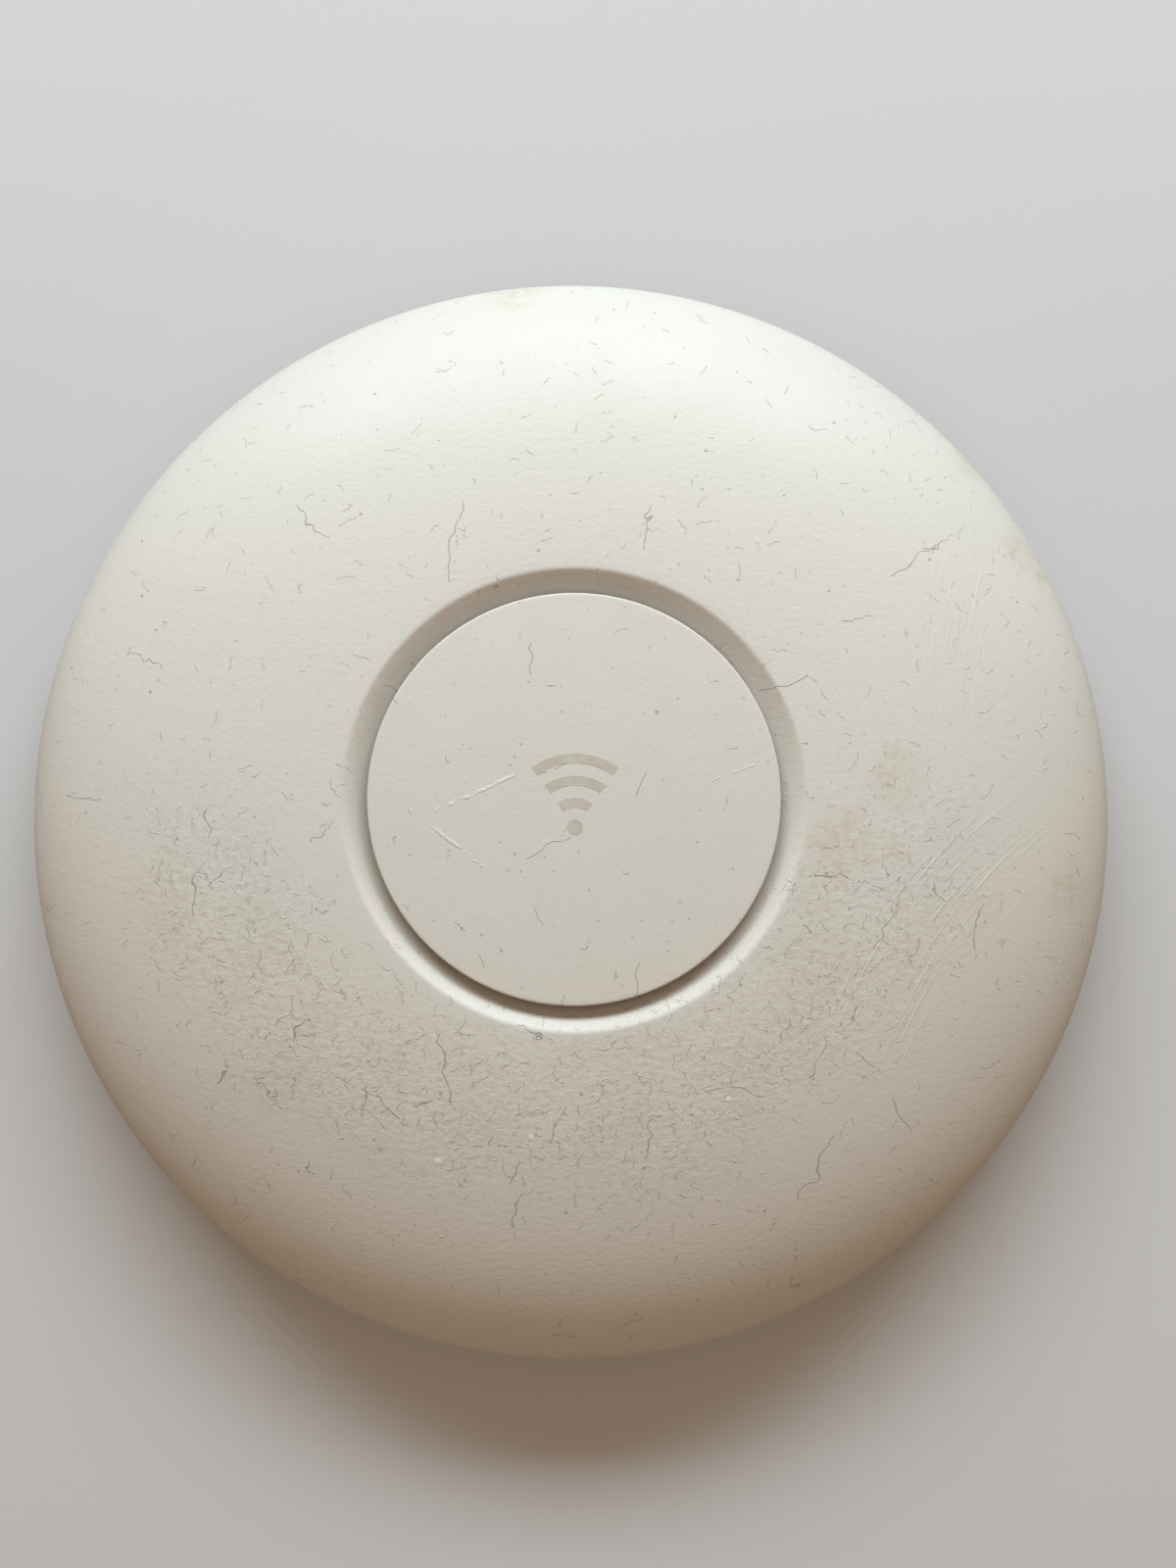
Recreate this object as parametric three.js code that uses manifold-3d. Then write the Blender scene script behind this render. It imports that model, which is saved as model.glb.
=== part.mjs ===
// Ceiling wireless access point, as an assembly. Millimetres, +Z up.
//
// The origin is the centre of the mounting bracket's back face, the face that lies against the
// ceiling. +Z runs from the ceiling into the room, out through the middle of the dome. The network
// ports face -Y, inside a bay that opens through the back.

import * as THREE from 'three';
import { mergeVertices } from 'three/addons/utils/BufferGeometryUtils.js';
import Module from 'manifold-3d';

const wasm = await Module();
wasm.setup();

// ---------------------------------------------------------------- driving dimensions

const GAP = 0.3;                    // clearance between pieces that touch
const WALL = 2;                     // moulded wall thickness
const ROUND_SIDES = 60;             // sides of the large turned pieces

const RIM_RADIUS = 98.35;           // widest point, the dome's lower edge
const RIM_Z = 10;
const TOP_Z = 35;                   // middle of the centre cap

const GROOVE_RADIUS = 38;           // ring groove: where its sloping wall meets the dome
const GROOVE_Z = 33.7;
const CREVICE_RADIUS = 33.4;        // foot of the groove's wall, under the cap's rim
const CREVICE_Z = 30.9;
const LIP_Z = 27.6;                 // underside of the lip round the crevice
const CAP_RADIUS = 33.8;
const CAP_EDGE_Z = 33.95;
const CAP_RIM_Z = 32.4;             // underside of the rim that stands out over the light ring
const SKIRT_RADIUS = 31.9;

const BACK_Z = 0.5;                 // lowest face of the rear housing, just off the ceiling
const BOSS_RADIUS = 74;             // part of the rear housing that stands out at the back
const FLANGE_Z = 9;                 // underside of the flange outside the boss
const FLANGE_RADIUS = 96;
const RECESS_RADIUS = 58;           // pocket that swallows the bracket
const RECESS_Z = 6;

const BOARD_Z = 21;
const BOARD_THICKNESS = 1.6;
const BOARD_RADIUS = 76;
const BOARD_TOP = BOARD_Z + BOARD_THICKNESS + GAP;    // where pieces on the board start
const BOARD_UNDER = BOARD_Z - GAP;                    // where pieces under the board end

const BAY_HALF_WIDTH = 29;          // port bay
const BAY_RADIUS = 55;
const BAY_FRONT_Y = -24.3;          // wall that the ports look out of
const BAY_TOP_Z = 21.5;
const CHANNEL_HALF_WIDTH = 7;       // cable channel from the bay out through the boss
const CHANNEL_TOP_Z = 8;

const PLATE_RADIUS = 53.5;          // mounting bracket
const PLATE_THICKNESS = 2.5;
const HOOP_RADIUS = 50;             // inside of the bracket's raised edge
const LUG_RADIUS = 57.6;
const LUG_Z = [3.8, 5.7];
const TAB_Z = [1.5, 3.5];           // the housing's bayonet tabs, caught behind the lugs
const BAYONET_ANGLES = [90, 210, 330];
const LUG_HALF_ANGLE = 8;
const TAB_HALF_ANGLE = 7.5;
const CEILING_SCREW_ANGLES = [0, 120, 180];
const CEILING_SCREW_RADIUS = 30;

const LEVER_RADIUS = 46;            // release lever: radius of its pivot and arm
const LEVER_PIVOT_ANGLE = 20;
const LEVER_TOOTH_ANGLE = 50;
const LEVER_Z = [0.4, 5.4];

const SCREW = { head: 2.2, headHeight: 1.4, shaft: 1.1, length: 9 };
const BOARD_SCREW_RADIUS = 66;
const BOARD_SCREW_ANGLES = [25, 155, 220, 320];
const CASE_SCREW_RADIUS = 84;
const CASE_SCREW_ANGLES = [45, 135, 225, 315];
const CASE_SCREW_Z = 9.3;           // head of a case screw, inside its counterbore
const CASE_POST_Z = 12.5;           // foot of the dome's screw posts

const LED_RADIUS = 36;
const LED_ANGLES = [30, 150, 205, 335];

const PORT_Y = BAY_FRONT_Y + GAP;   // front faces of the ports
const JACK = { width: 16, height: 12.1, depth: 19 };
const JACK_MOUTH = { width: 11.8, height: 7.6, depth: 14, latchWidth: 6.2, latchHeight: 2.4 };
const JACK_X = { main: -19.2, second: -1.6 };
const USB = { width: 13.6, height: 6.1, depth: 14, wall: 0.6 };
const USB_X = 16.2;
const RESET = { x: 26.2, z: 17, tip: 1.6, flange: 2.5, neck: WALL + 1, length: WALL + 2, travel: 0.5 };

const SHIELD_HEIGHT = 3.2;
const PAD_Z = 15.8;                 // thermal pads, between the spreader and the shields
const PAD_THICKNESS = 1.4;
const SPREADER_Z = [8.4, 10.2];
const CHIPS = {
  cpu: { at: [0, 24], size: [26, 26] },
  radio_left: { at: [-36, 10], size: [24, 20] },
  radio_right: { at: [36, 10], size: [24, 20] },
};

// ---------------------------------------------------------------- solids

// A closed geometry as a solid that can be joined and cut.
function solidOf(geometry) {
  geometry.deleteAttribute('normal');
  geometry.deleteAttribute('uv');
  const welded = mergeVertices(geometry, 1e-4);
  const corners = welded.index.array;
  const kept = [];
  for (let i = 0; i < corners.length; i += 3) {
    const [a, b, c] = corners.slice(i, i + 3);
    if (a !== b && b !== c && c !== a) kept.push(a, b, c);
  }
  return new wasm.Manifold(new wasm.Mesh({
    numProp: 3,
    vertProperties: new Float32Array(welded.attributes.position.array),
    triVerts: new Uint32Array(kept),
  }));
}

function geometryOf(solid) {
  const mesh = solid.getMesh();
  const geometry = new THREE.BufferGeometry();
  geometry.setAttribute('position', new THREE.BufferAttribute(mesh.vertProperties, 3));
  geometry.setIndex(new THREE.BufferAttribute(mesh.triVerts, 1));
  geometry.computeVertexNormals();
  return geometry;
}

// A box between two corners.
function block([x0, y0, z0], [x1, y1, z1]) {
  const box = new THREE.BoxGeometry(x1 - x0, y1 - y0, z1 - z0);
  return solidOf(box.translate((x0 + x1) / 2, (y0 + y1) / 2, (z0 + z1) / 2));
}

// An upright cylinder.
function drum(radius, z0, z1, [x, y] = [0, 0], sides = 16) {
  const cylinder = new THREE.CylinderGeometry(radius, radius, z1 - z0, sides);
  return solidOf(cylinder.rotateX(Math.PI / 2).translate(x, y, (z0 + z1) / 2));
}

// A profile of [radius, z] pairs turned about Z, running outwards along the underside first.
// A profile that starts off the axis is closed on itself.
function turned(profile, sides = ROUND_SIDES) {
  const closed = profile[0][0] > 0 ? [...profile, profile[0]] : profile;
  const points = closed.map(([r, z]) => new THREE.Vector2(r, z));
  return solidOf(new THREE.LatheGeometry(points, sides).rotateX(Math.PI / 2));
}

function radians(degrees) {
  return THREE.MathUtils.degToRad(degrees);
}

function polar(radius, degrees) {
  return [radius * Math.cos(radians(degrees)), radius * Math.sin(radians(degrees))];
}

// A slice of a ring.
function sector(r0, r1, from, to, z0, z1) {
  const shape = new THREE.Shape();
  shape.absarc(0, 0, r1, radians(from), radians(to), false);
  shape.absarc(0, 0, r0, radians(to), radians(from), true);
  shape.closePath();
  const options = { depth: z1 - z0, bevelEnabled: false, curveSegments: 8 };
  return solidOf(new THREE.ExtrudeGeometry(shape, options).translate(0, 0, z0));
}

// A bar that runs outwards from r0 to r1 in one direction.
function spoke(degrees, halfWidth, r0, r1, z0, z1) {
  return block([r0, -halfWidth, z0], [r1, halfWidth, z1]).rotate([0, 0, degrees]);
}

function joined(first, ...others) {
  return others.reduce((whole, piece) => whole.add(piece), first);
}

function cut(body, ...tools) {
  return tools.reduce((left, tool) => left.subtract(tool), body);
}

// ---------------------------------------------------------------- dome, cap and light ring

const OUTER_CURVE = new THREE.CubicBezierCurve(
  new THREE.Vector2(GROOVE_RADIUS, GROOVE_Z),
  new THREE.Vector2(70, 31.5),
  new THREE.Vector2(95, 24),
  new THREE.Vector2(RIM_RADIUS, RIM_Z),
);
const INNER_CURVE = new THREE.CubicBezierCurve(
  new THREE.Vector2(GROOVE_RADIUS + 2.2, GROOVE_Z - 2.15),
  new THREE.Vector2(69.3, 29.3),
  new THREE.Vector2(92.9, 22.3),
  new THREE.Vector2(RIM_RADIUS - WALL, RIM_Z),
);
const CURVE_STEPS = 9;

// A curve's points from the rim up to the groove.
function climb(curve) {
  return curve.getPoints(CURVE_STEPS).reverse().map((point) => [point.x, point.y]);
}

// The shell turns down into the crevice round the cap, and has four screw posts inside.
function domeCover() {
  const shell = turned([
    ...climb(OUTER_CURVE),
    [CREVICE_RADIUS, CREVICE_Z],
    [CREVICE_RADIUS, LIP_Z],
    [CREVICE_RADIUS + WALL, LIP_Z],
    [CREVICE_RADIUS + WALL, CREVICE_Z - 1],
    ...climb(INNER_CURVE).reverse(),
  ]);
  const underHalfWall = turned([
    [0, RIM_Z],
    ...climb(INNER_CURVE).map(([r, z]) => [r, z + WALL / 2]),
    [0, GROOVE_Z - WALL],
  ]);
  const posts = CASE_SCREW_ANGLES.map((angle) => {
    const at = polar(CASE_SCREW_RADIUS, angle);
    const post = drum(3.2, CASE_POST_Z, GROOVE_Z, at).intersect(underHalfWall);
    return cut(post, drum(SCREW.shaft + GAP, CASE_POST_Z - 1, CASE_POST_Z + 7.5, at, 12));
  });
  return joined(shell, ...posts);
}

// A disc that carries on the dome's curve, with a skirt that stands on the light ring.
function centerCap() {
  const crown = [1, 0.75, 0.5, 0.25, 0].map((share) => {
    const r = share * (CAP_RADIUS - 0.4);
    return [r, TOP_Z - (TOP_Z - CAP_EDGE_Z) * (r / CAP_RADIUS) ** 2];
  });
  return turned([
    [0, TOP_Z - WALL],
    [SKIRT_RADIUS - 1.8, CAP_EDGE_Z - WALL],
    [SKIRT_RADIUS - 1.8, LIP_Z],
    [SKIRT_RADIUS, LIP_Z],
    [SKIRT_RADIUS, CAP_RIM_Z],
    [CAP_RADIUS, CAP_RIM_Z],
    [CAP_RADIUS, CAP_EDGE_Z - 0.4],
    ...crown,
  ], 48);
}

// The translucent ring at the bottom of the crevice, with a light guide over each lamp.
function lightRing() {
  const flangeZ = [LIP_Z - GAP - 1.9, LIP_Z - GAP];
  const ring = turned([
    [31, flangeZ[0]],
    [41, flangeZ[0]],
    [41, flangeZ[1]],
    [CREVICE_RADIUS - GAP, flangeZ[1]],
    [CREVICE_RADIUS - GAP, CREVICE_Z - 0.6],
    [SKIRT_RADIUS + GAP, CREVICE_Z - 0.6],
    [SKIRT_RADIUS + GAP, flangeZ[1]],
    [31, flangeZ[1]],
  ], 48);
  const guides = LED_ANGLES.map((angle) =>
    drum(1.8, BOARD_TOP + 1.1, flangeZ[0] + 0.5, polar(LED_RADIUS, angle), 12));
  return joined(ring, ...guides);
}

// ---------------------------------------------------------------- rear housing

// The bay's plan is a box whose far side follows the round recess.
function bayPlan(halfWidth, radius, y1, z0, z1) {
  const box = block([-halfWidth, -radius - 1, z0], [halfWidth, y1, z1]);
  return box.intersect(drum(radius, z0 - 1, z1 + 1, [0, 0], ROUND_SIDES));
}

// Windows in the bay's front wall, one for each port and one for the reset button.
function portWindows() {
  const window = (x, width, z0) => block(
    [x - width / 2 - GAP, BAY_FRONT_Y - 1, z0 - GAP],
    [x + width / 2 + GAP, BAY_FRONT_Y + WALL + 1, BOARD_UNDER + GAP],
  );
  const resetHole = drum(RESET.tip + GAP, -1.5, 1.5 + WALL)
    .rotate([-90, 0, 0])
    .translate([RESET.x, BAY_FRONT_Y, RESET.z]);
  return [
    window(JACK_X.main, JACK.width, BOARD_UNDER - JACK.height),
    window(JACK_X.second, JACK.width, BOARD_UNDER - JACK.height),
    window(USB_X, USB.width, BOARD_UNDER - USB.height),
    resetHole,
  ];
}

function rearHousing() {
  const shell = turned([
    [0, RECESS_Z],
    [RECESS_RADIUS, RECESS_Z],
    [RECESS_RADIUS, BACK_Z],
    [BOSS_RADIUS, BACK_Z],
    [BOSS_RADIUS + 0.8, FLANGE_Z],
    [FLANGE_RADIUS, FLANGE_Z],
    [FLANGE_RADIUS, RIM_Z],
    [FLANGE_RADIUS - 1.8, RIM_Z + 3.5],
    [FLANGE_RADIUS - 3.6, RIM_Z + 3.5],
    [FLANGE_RADIUS - 3.6, FLANGE_Z + WALL],
    [BOSS_RADIUS - 1.2, FLANGE_Z + WALL],
    [BOSS_RADIUS - 2, BACK_Z + WALL],
    [RECESS_RADIUS + WALL, BACK_Z + WALL],
    [RECESS_RADIUS + WALL, RECESS_Z + WALL],
    [0, RECESS_Z + WALL],
  ]);
  const bayWalls = bayPlan(
    BAY_HALF_WIDTH + WALL, BAY_RADIUS + WALL, BAY_FRONT_Y + WALL, RECESS_Z, BAY_TOP_Z + WALL);
  const bay = bayPlan(BAY_HALF_WIDTH, BAY_RADIUS, BAY_FRONT_Y, RECESS_Z - 1, BAY_TOP_Z);
  const channelWalls = spoke(270, CHANNEL_HALF_WIDTH + WALL, 56, BOSS_RADIUS - 1, 1, CHANNEL_TOP_Z + WALL);
  const channel = spoke(270, CHANNEL_HALF_WIDTH, BAY_RADIUS - 1, BOSS_RADIUS + 3, 0, CHANNEL_TOP_Z);
  const toolWalls = spoke(LEVER_TOOTH_ANGLE, 3.6, RECESS_RADIUS + 1, BOSS_RADIUS - 1, 1, 7.8);
  const toolHole = spoke(LEVER_TOOTH_ANGLE, 1.6, RECESS_RADIUS - 2, BOSS_RADIUS + 3, 2.5, 5.7);
  const tabs = BAYONET_ANGLES.map((angle) => sector(
    PLATE_RADIUS + 0.5, RECESS_RADIUS + 1, angle - TAB_HALF_ANGLE, angle + TAB_HALF_ANGLE, ...TAB_Z));
  const boardPosts = BOARD_SCREW_ANGLES.map((angle) => {
    const at = polar(BOARD_SCREW_RADIUS, angle);
    return cut(drum(3.5, 2, BOARD_UNDER, at), drum(SCREW.shaft + GAP, 11, BOARD_Z, at, 12));
  });
  const seats = CASE_SCREW_ANGLES.map((angle) =>
    drum(4.2, FLANGE_Z, CASE_POST_Z - GAP, polar(CASE_SCREW_RADIUS, angle), 20));
  const counterbores = CASE_SCREW_ANGLES.map((angle) => joined(
    drum(SCREW.head + GAP, FLANGE_Z - 1, CASE_SCREW_Z + 1.7, polar(CASE_SCREW_RADIUS, angle)),
    drum(SCREW.shaft + GAP, FLANGE_Z, CASE_POST_Z, polar(CASE_SCREW_RADIUS, angle), 12),
  ));
  return cut(
    joined(shell, bayWalls, channelWalls, toolWalls, ...tabs, ...boardPosts, ...seats),
    bay, channel, toolHole, ...counterbores, ...portWindows(),
  );
}

// The snap-in door that closes the cable channel, curved like the boss.
function cableDoor() {
  const halfWidth = CHANNEL_HALF_WIDTH - GAP;
  const top = CHANNEL_TOP_Z - GAP;
  const panel = block([-halfWidth, -BOSS_RADIUS - 2, BACK_Z + GAP], [halfWidth, -BOSS_RADIUS + 2.5, top])
    .intersect(drum(BOSS_RADIUS, 0, CHANNEL_TOP_Z, [0, 0], ROUND_SIDES));
  const snaps = [-1, 1].map((side) => block(
    [side * (halfWidth - 0.7) - 0.7, -BOSS_RADIUS + 2, BACK_Z + 1.5],
    [side * (halfWidth - 0.7) + 0.7, -BOSS_RADIUS + 6, top - 1.5],
  ));
  return joined(panel, ...snaps);
}

// ---------------------------------------------------------------- mounting bracket

function mountingBracket() {
  const plate = drum(PLATE_RADIUS, 0, PLATE_THICKNESS, [0, 0], ROUND_SIDES);
  const hoop = turned([
    [HOOP_RADIUS, PLATE_THICKNESS - 1],
    [PLATE_RADIUS, PLATE_THICKNESS - 1],
    [PLATE_RADIUS, LUG_Z[1]],
    [HOOP_RADIUS, LUG_Z[1]],
  ]);
  const centreRib = turned([
    [15, PLATE_THICKNESS - 1],
    [17, PLATE_THICKNESS - 1],
    [17, 4.4],
    [15, 4.4],
  ], 36);
  const ribs = [60, 90, 150].map((angle) => spoke(angle, 0.8, 16, HOOP_RADIUS + 1, 2, 4.4));
  const lugs = BAYONET_ANGLES.flatMap((angle) => [
    sector(PLATE_RADIUS - 1, LUG_RADIUS, angle - LUG_HALF_ANGLE, angle + LUG_HALF_ANGLE, ...LUG_Z),
    sector(PLATE_RADIUS - 1, LUG_RADIUS, angle - 11, angle - LUG_HALF_ANGLE, TAB_Z[0], LUG_Z[1]),
  ]);
  const cableOpening = bayPlan(BAY_HALF_WIDTH - 2, 47.5, BAY_FRONT_Y - 1, -1, 4);
  const hoopGate = spoke(270, CHANNEL_HALF_WIDTH + 1, HOOP_RADIUS - 1, PLATE_RADIUS + 1, PLATE_THICKNESS, 8);
  const screwSlots = CEILING_SCREW_ANGLES.map((angle) => {
    const along = (distance) => drum(2.25, -1, 4, polar(distance, angle));
    return joined(
      along(CEILING_SCREW_RADIUS - 4),
      along(CEILING_SCREW_RADIUS + 4),
      spoke(angle, 2.25, CEILING_SCREW_RADIUS - 4, CEILING_SCREW_RADIUS + 4, -1, 4),
    );
  });
  const leverSlot = sector(41, HOOP_RADIUS - 0.4, LEVER_PIVOT_ANGLE, LEVER_TOOTH_ANGLE + 6, -1, 7);
  const pivotHole = drum(3.2, -1, 7, polar(LEVER_RADIUS, LEVER_PIVOT_ANGLE), 20);
  const toothGate = sector(
    HOOP_RADIUS - 1, PLATE_RADIUS + 1, LEVER_TOOTH_ANGLE - 7, LEVER_TOOTH_ANGLE + 5, PLATE_THICKNESS, 7);
  return cut(
    joined(plate, hoop, centreRib, ...ribs, ...lugs),
    drum(13, -1, 7, [0, 0], 36), cableOpening, hoopGate, leverSlot, pivotHole, toothGate, ...screwSlots,
  );
}

// A springy arm in a slot of the bracket, with a tooth that a pin pushes in through the boss.
function lockLever() {
  const arm = sector(
    LEVER_RADIUS - 1, LEVER_RADIUS + 1, LEVER_PIVOT_ANGLE, LEVER_TOOTH_ANGLE + 2, ...LEVER_Z);
  const pivot = drum(2.6, ...LEVER_Z, polar(LEVER_RADIUS, LEVER_PIVOT_ANGLE), 20);
  const tooth = sector(
    LEVER_RADIUS, LUG_RADIUS - GAP, LEVER_TOOTH_ANGLE - 1.5, LEVER_TOOTH_ANGLE + 1.5,
    PLATE_THICKNESS + GAP, LEVER_Z[1]);
  return joined(arm, pivot, tooth);
}

// ---------------------------------------------------------------- board and what is on it

function mainBoard() {
  const disc = drum(BOARD_RADIUS, 0, BOARD_THICKNESS, [0, 0], ROUND_SIDES);
  const notchHalf = BAY_HALF_WIDTH + WALL + 0.8;
  const notch = block([-notchHalf, -BOARD_RADIUS - 1, -1], [notchHalf, BAY_FRONT_Y + WALL + 0.5, 3]);
  const holes = BOARD_SCREW_ANGLES.map((angle) =>
    drum(SCREW.shaft + GAP, -1, 3, polar(BOARD_SCREW_RADIUS, angle), 12));
  return cut(disc, notch, ...holes);
}

// Flat plate clear of the ports, with a raised block under each chip.
function heatSpreader() {
  const [low, high] = SPREADER_Z;
  const plate = drum(RECESS_RADIUS, low, high, [0, 0], ROUND_SIDES);
  const portSide = block([-60, -60, 0], [60, BAY_FRONT_Y + JACK.depth + 3, 20]);
  const blocks = Object.values(CHIPS).map(({ at: [x, y], size: [w, d] }) =>
    block([x - w / 2 + 3, y - d / 2 + 3, high - 1], [x + w / 2 - 3, y + d / 2 - 3, PAD_Z - GAP]));
  return joined(cut(plate, portSide), ...blocks);
}

// A folded tin box, open towards the board. It is modelled with its roof at z = 0.
function shieldCan([w, d]) {
  const sheet = 0.6;
  const can = block([-w / 2, -d / 2, 0], [w / 2, d / 2, SHIELD_HEIGHT]);
  const inside = block(
    [-w / 2 + sheet, -d / 2 + sheet, sheet],
    [w / 2 - sheet, d / 2 - sheet, SHIELD_HEIGHT + 1],
  );
  return cut(can, inside);
}

// A stamped plate on two legs. It is modelled on z = 0.
function antenna(length, width, height) {
  const sheet = 0.6;
  const plate = block([-length / 2, -width / 2, height - sheet], [length / 2, width / 2, height]);
  const slot = block([-length / 2 + 4, -0.8, 0], [length / 2 - 3, 0.8, height + 1]);
  const feed = block([-length / 2, -width / 2, 0], [-length / 2 + sheet, -width / 2 + 3, height]);
  const ground = block([-length / 2, width / 2 - 3, 0], [-length / 2 + sheet, width / 2, height]);
  return joined(cut(plate, slot), feed, ground);
}

// A network socket. Its mouth is in the plane y = 0 and its top at z = 0.
function networkJack() {
  const { width, height, depth } = JACK;
  const mouth = JACK_MOUTH;
  const floor = -height + 1.2;
  const latchTop = floor + mouth.latchHeight;
  const half = mouth.width / 2;
  return cut(
    block([-width / 2, 0, -height], [width / 2, depth, 0]),
    block([-half, -1, latchTop], [half, mouth.depth, latchTop + mouth.height]),
    block([-mouth.latchWidth / 2, -1, floor], [mouth.latchWidth / 2, mouth.depth, latchTop + 1]),
  );
}

// The comb of spring contacts under a network socket's roof, in the socket's own place.
function jackContacts() {
  const top = -JACK.height + 1.2 + JACK_MOUTH.latchHeight + JACK_MOUTH.height - GAP;
  const pitch = 1.15;
  const bar = block([-4.9, 9, top - 0.8], [4.9, JACK_MOUTH.depth - GAP, top]);
  const fins = [...Array(8).keys()].map((i) => {
    const x = (i - 3.5) * pitch;
    return block([x - 0.25, 4, top - 1.3], [x + 0.25, 10, top - 0.4]);
  });
  return joined(bar, ...fins);
}

// A serial bus socket, with its mouth at y = 0 and its top at z = 0.
function usbPort() {
  const { width, height, depth, wall } = USB;
  return cut(
    block([-width / 2, 0, -height], [width / 2, depth, 0]),
    block([-width / 2 + wall, -1, -height + wall], [width / 2 - wall, depth - 2, -wall]),
  );
}

function usbTongue() {
  return block([-5.5, 1, -USB.wall - 2.2], [5.5, USB.depth - 2 - GAP, -USB.wall - 0.4]);
}

// The reset plunger, tip towards -Y at y = 0. Its flange stays behind the bay's wall.
function resetButton() {
  const { tip, flange, neck, length } = RESET;
  return joined(drum(tip, 0, neck + 0.5, [0, 0], 12), drum(flange, neck, length)).rotate([-90, 0, 0]);
}

// A small machine screw, head down at z = 0, with a cross recess.
function screw() {
  const { head, headHeight, shaft, length } = SCREW;
  const recess = [0, 90].map((turn) => spoke(turn, 0.3, -1.3, 1.3, -1, 0.7));
  return cut(
    joined(drum(head, 0, headHeight), drum(shaft, headHeight - 0.5, length, [0, 0], 8)),
    ...recess,
  );
}

// ---------------------------------------------------------------- materials

const finish = (color, roughness, metalness = 0) => ({ color, roughness, metalness });
const FINISHES = {
  whitePlastic: finish(0xd9d8d2, 0.55),
  capPlastic: finish(0xdcdbd6, 0.5),
  lightGuide: finish(0xb9bcb9, 0.35),
  rearPlastic: finish(0xd2d1cb, 0.6),
  bracketPlastic: finish(0xc9c8c3, 0.6),
  board: finish(0x1f4a35, 0.45),
  spreader: finish(0xa9adb0, 0.45, 0.9),
  tin: finish(0xb4b6b4, 0.3, 0.9),
  antennaMetal: finish(0xc2b98f, 0.35, 0.9),
  thermalPad: finish(0x8fa2b5, 0.9),
  gold: finish(0xc9a24a, 0.3, 1),
  blackPlastic: finish(0x1b1b1c, 0.5),
  ferrite: finish(0x3a3b3d, 0.7),
  lamp: finish(0xe9ecd8, 0.3),
  screwSteel: finish(0x9b9da0, 0.35, 1),
  label: finish(0xe4e4e1, 0.7),
};

// ---------------------------------------------------------------- assembly

function piece(name, solid, finishName, [x, y, z] = [0, 0, 0], turn = 0) {
  const mesh = new THREE.Mesh(geometryOf(solid), new THREE.MeshStandardMaterial(FINISHES[finishName]));
  mesh.name = name;
  mesh.position.set(x, y, z);
  mesh.rotation.z = radians(turn);
  return mesh;
}

function group(...members) {
  const made = new THREE.Group();
  made.add(...members);
  return made;
}

function bracketGroup() {
  return group(
    piece('mounting_bracket', mountingBracket(), 'bracketPlastic'),
    piece('lock_lever', lockLever(), 'bracketPlastic'),
  );
}

function casing() {
  return group(
    piece('dome_cover', domeCover(), 'whitePlastic'),
    piece('center_cap', centerCap(), 'capPlastic'),
    piece('light_ring', lightRing(), 'lightGuide'),
    piece('rear_housing', rearHousing(), 'rearPlastic'),
    piece('cable_door', cableDoor(), 'rearPlastic'),
    piece('rear_label', block([-15, -8, 0], [15, 8, GAP]), 'label', [0, 30, RECESS_Z - 0.6]),
    ...CASE_SCREW_ANGLES.map((angle, i) => piece(
      `case_screw_${i + 1}`, screw(), 'screwSteel', [...polar(CASE_SCREW_RADIUS, angle), CASE_SCREW_Z])),
  );
}

// The bay's ports hang under the board, so their group's origin is on the port line.
function ports() {
  const socket = (name, x) => [
    piece(`${name}_port_jack`, networkJack(), 'blackPlastic', [x, 0, 0]),
    piece(`${name}_port_contacts`, jackContacts(), 'gold', [x, 0, 0]),
  ];
  const made = group(
    ...socket('main', JACK_X.main),
    ...socket('second', JACK_X.second),
    piece('usb_port', usbPort(), 'tin', [USB_X, 0, 0]),
    piece('usb_tongue', usbTongue(), 'blackPlastic', [USB_X, 0, 0]),
  );
  made.position.set(0, PORT_Y, BOARD_UNDER);
  return made;
}

function resetParts() {
  const buttonY = BAY_FRONT_Y - 0.7;
  const switchY = buttonY + RESET.length + RESET.travel + GAP;
  return group(
    piece('reset_button', resetButton(), 'blackPlastic', [RESET.x, buttonY, RESET.z]),
    piece('reset_switch', block([-2.2, 0, -2.2], [2.2, 4, BOARD_UNDER - RESET.z]), 'blackPlastic',
      [RESET.x, switchY, RESET.z]),
  );
}

function coolingParts() {
  return group(
    piece('heat_spreader', heatSpreader(), 'spreader'),
    ...Object.entries(CHIPS).flatMap(([name, { at, size: [w, d] }]) => [
      piece(`${name}_shield`, shieldCan([w, d]), 'tin', [...at, BOARD_UNDER - SHIELD_HEIGHT]),
      piece(`${name}_pad`, block([-w / 2 + 4, -d / 2 + 4, 0], [w / 2 - 4, d / 2 - 4, PAD_THICKNESS]),
        'thermalPad', [...at, PAD_Z]),
    ]),
  );
}

function antennas() {
  const low = [0, 90, 180].map((angle, i) => piece(
    `antenna_low_band_${i + 1}`, antenna(24, 11, 4.6), 'antennaMetal', [...polar(58, angle), 0], angle + 90));
  const high = [55, 125, 200].map((angle, i) => piece(
    `antenna_high_band_${i + 1}`, antenna(15, 9, 3.8), 'antennaMetal', [...polar(62, angle), 0], angle + 90));
  return group(...low, ...high);
}

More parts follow.
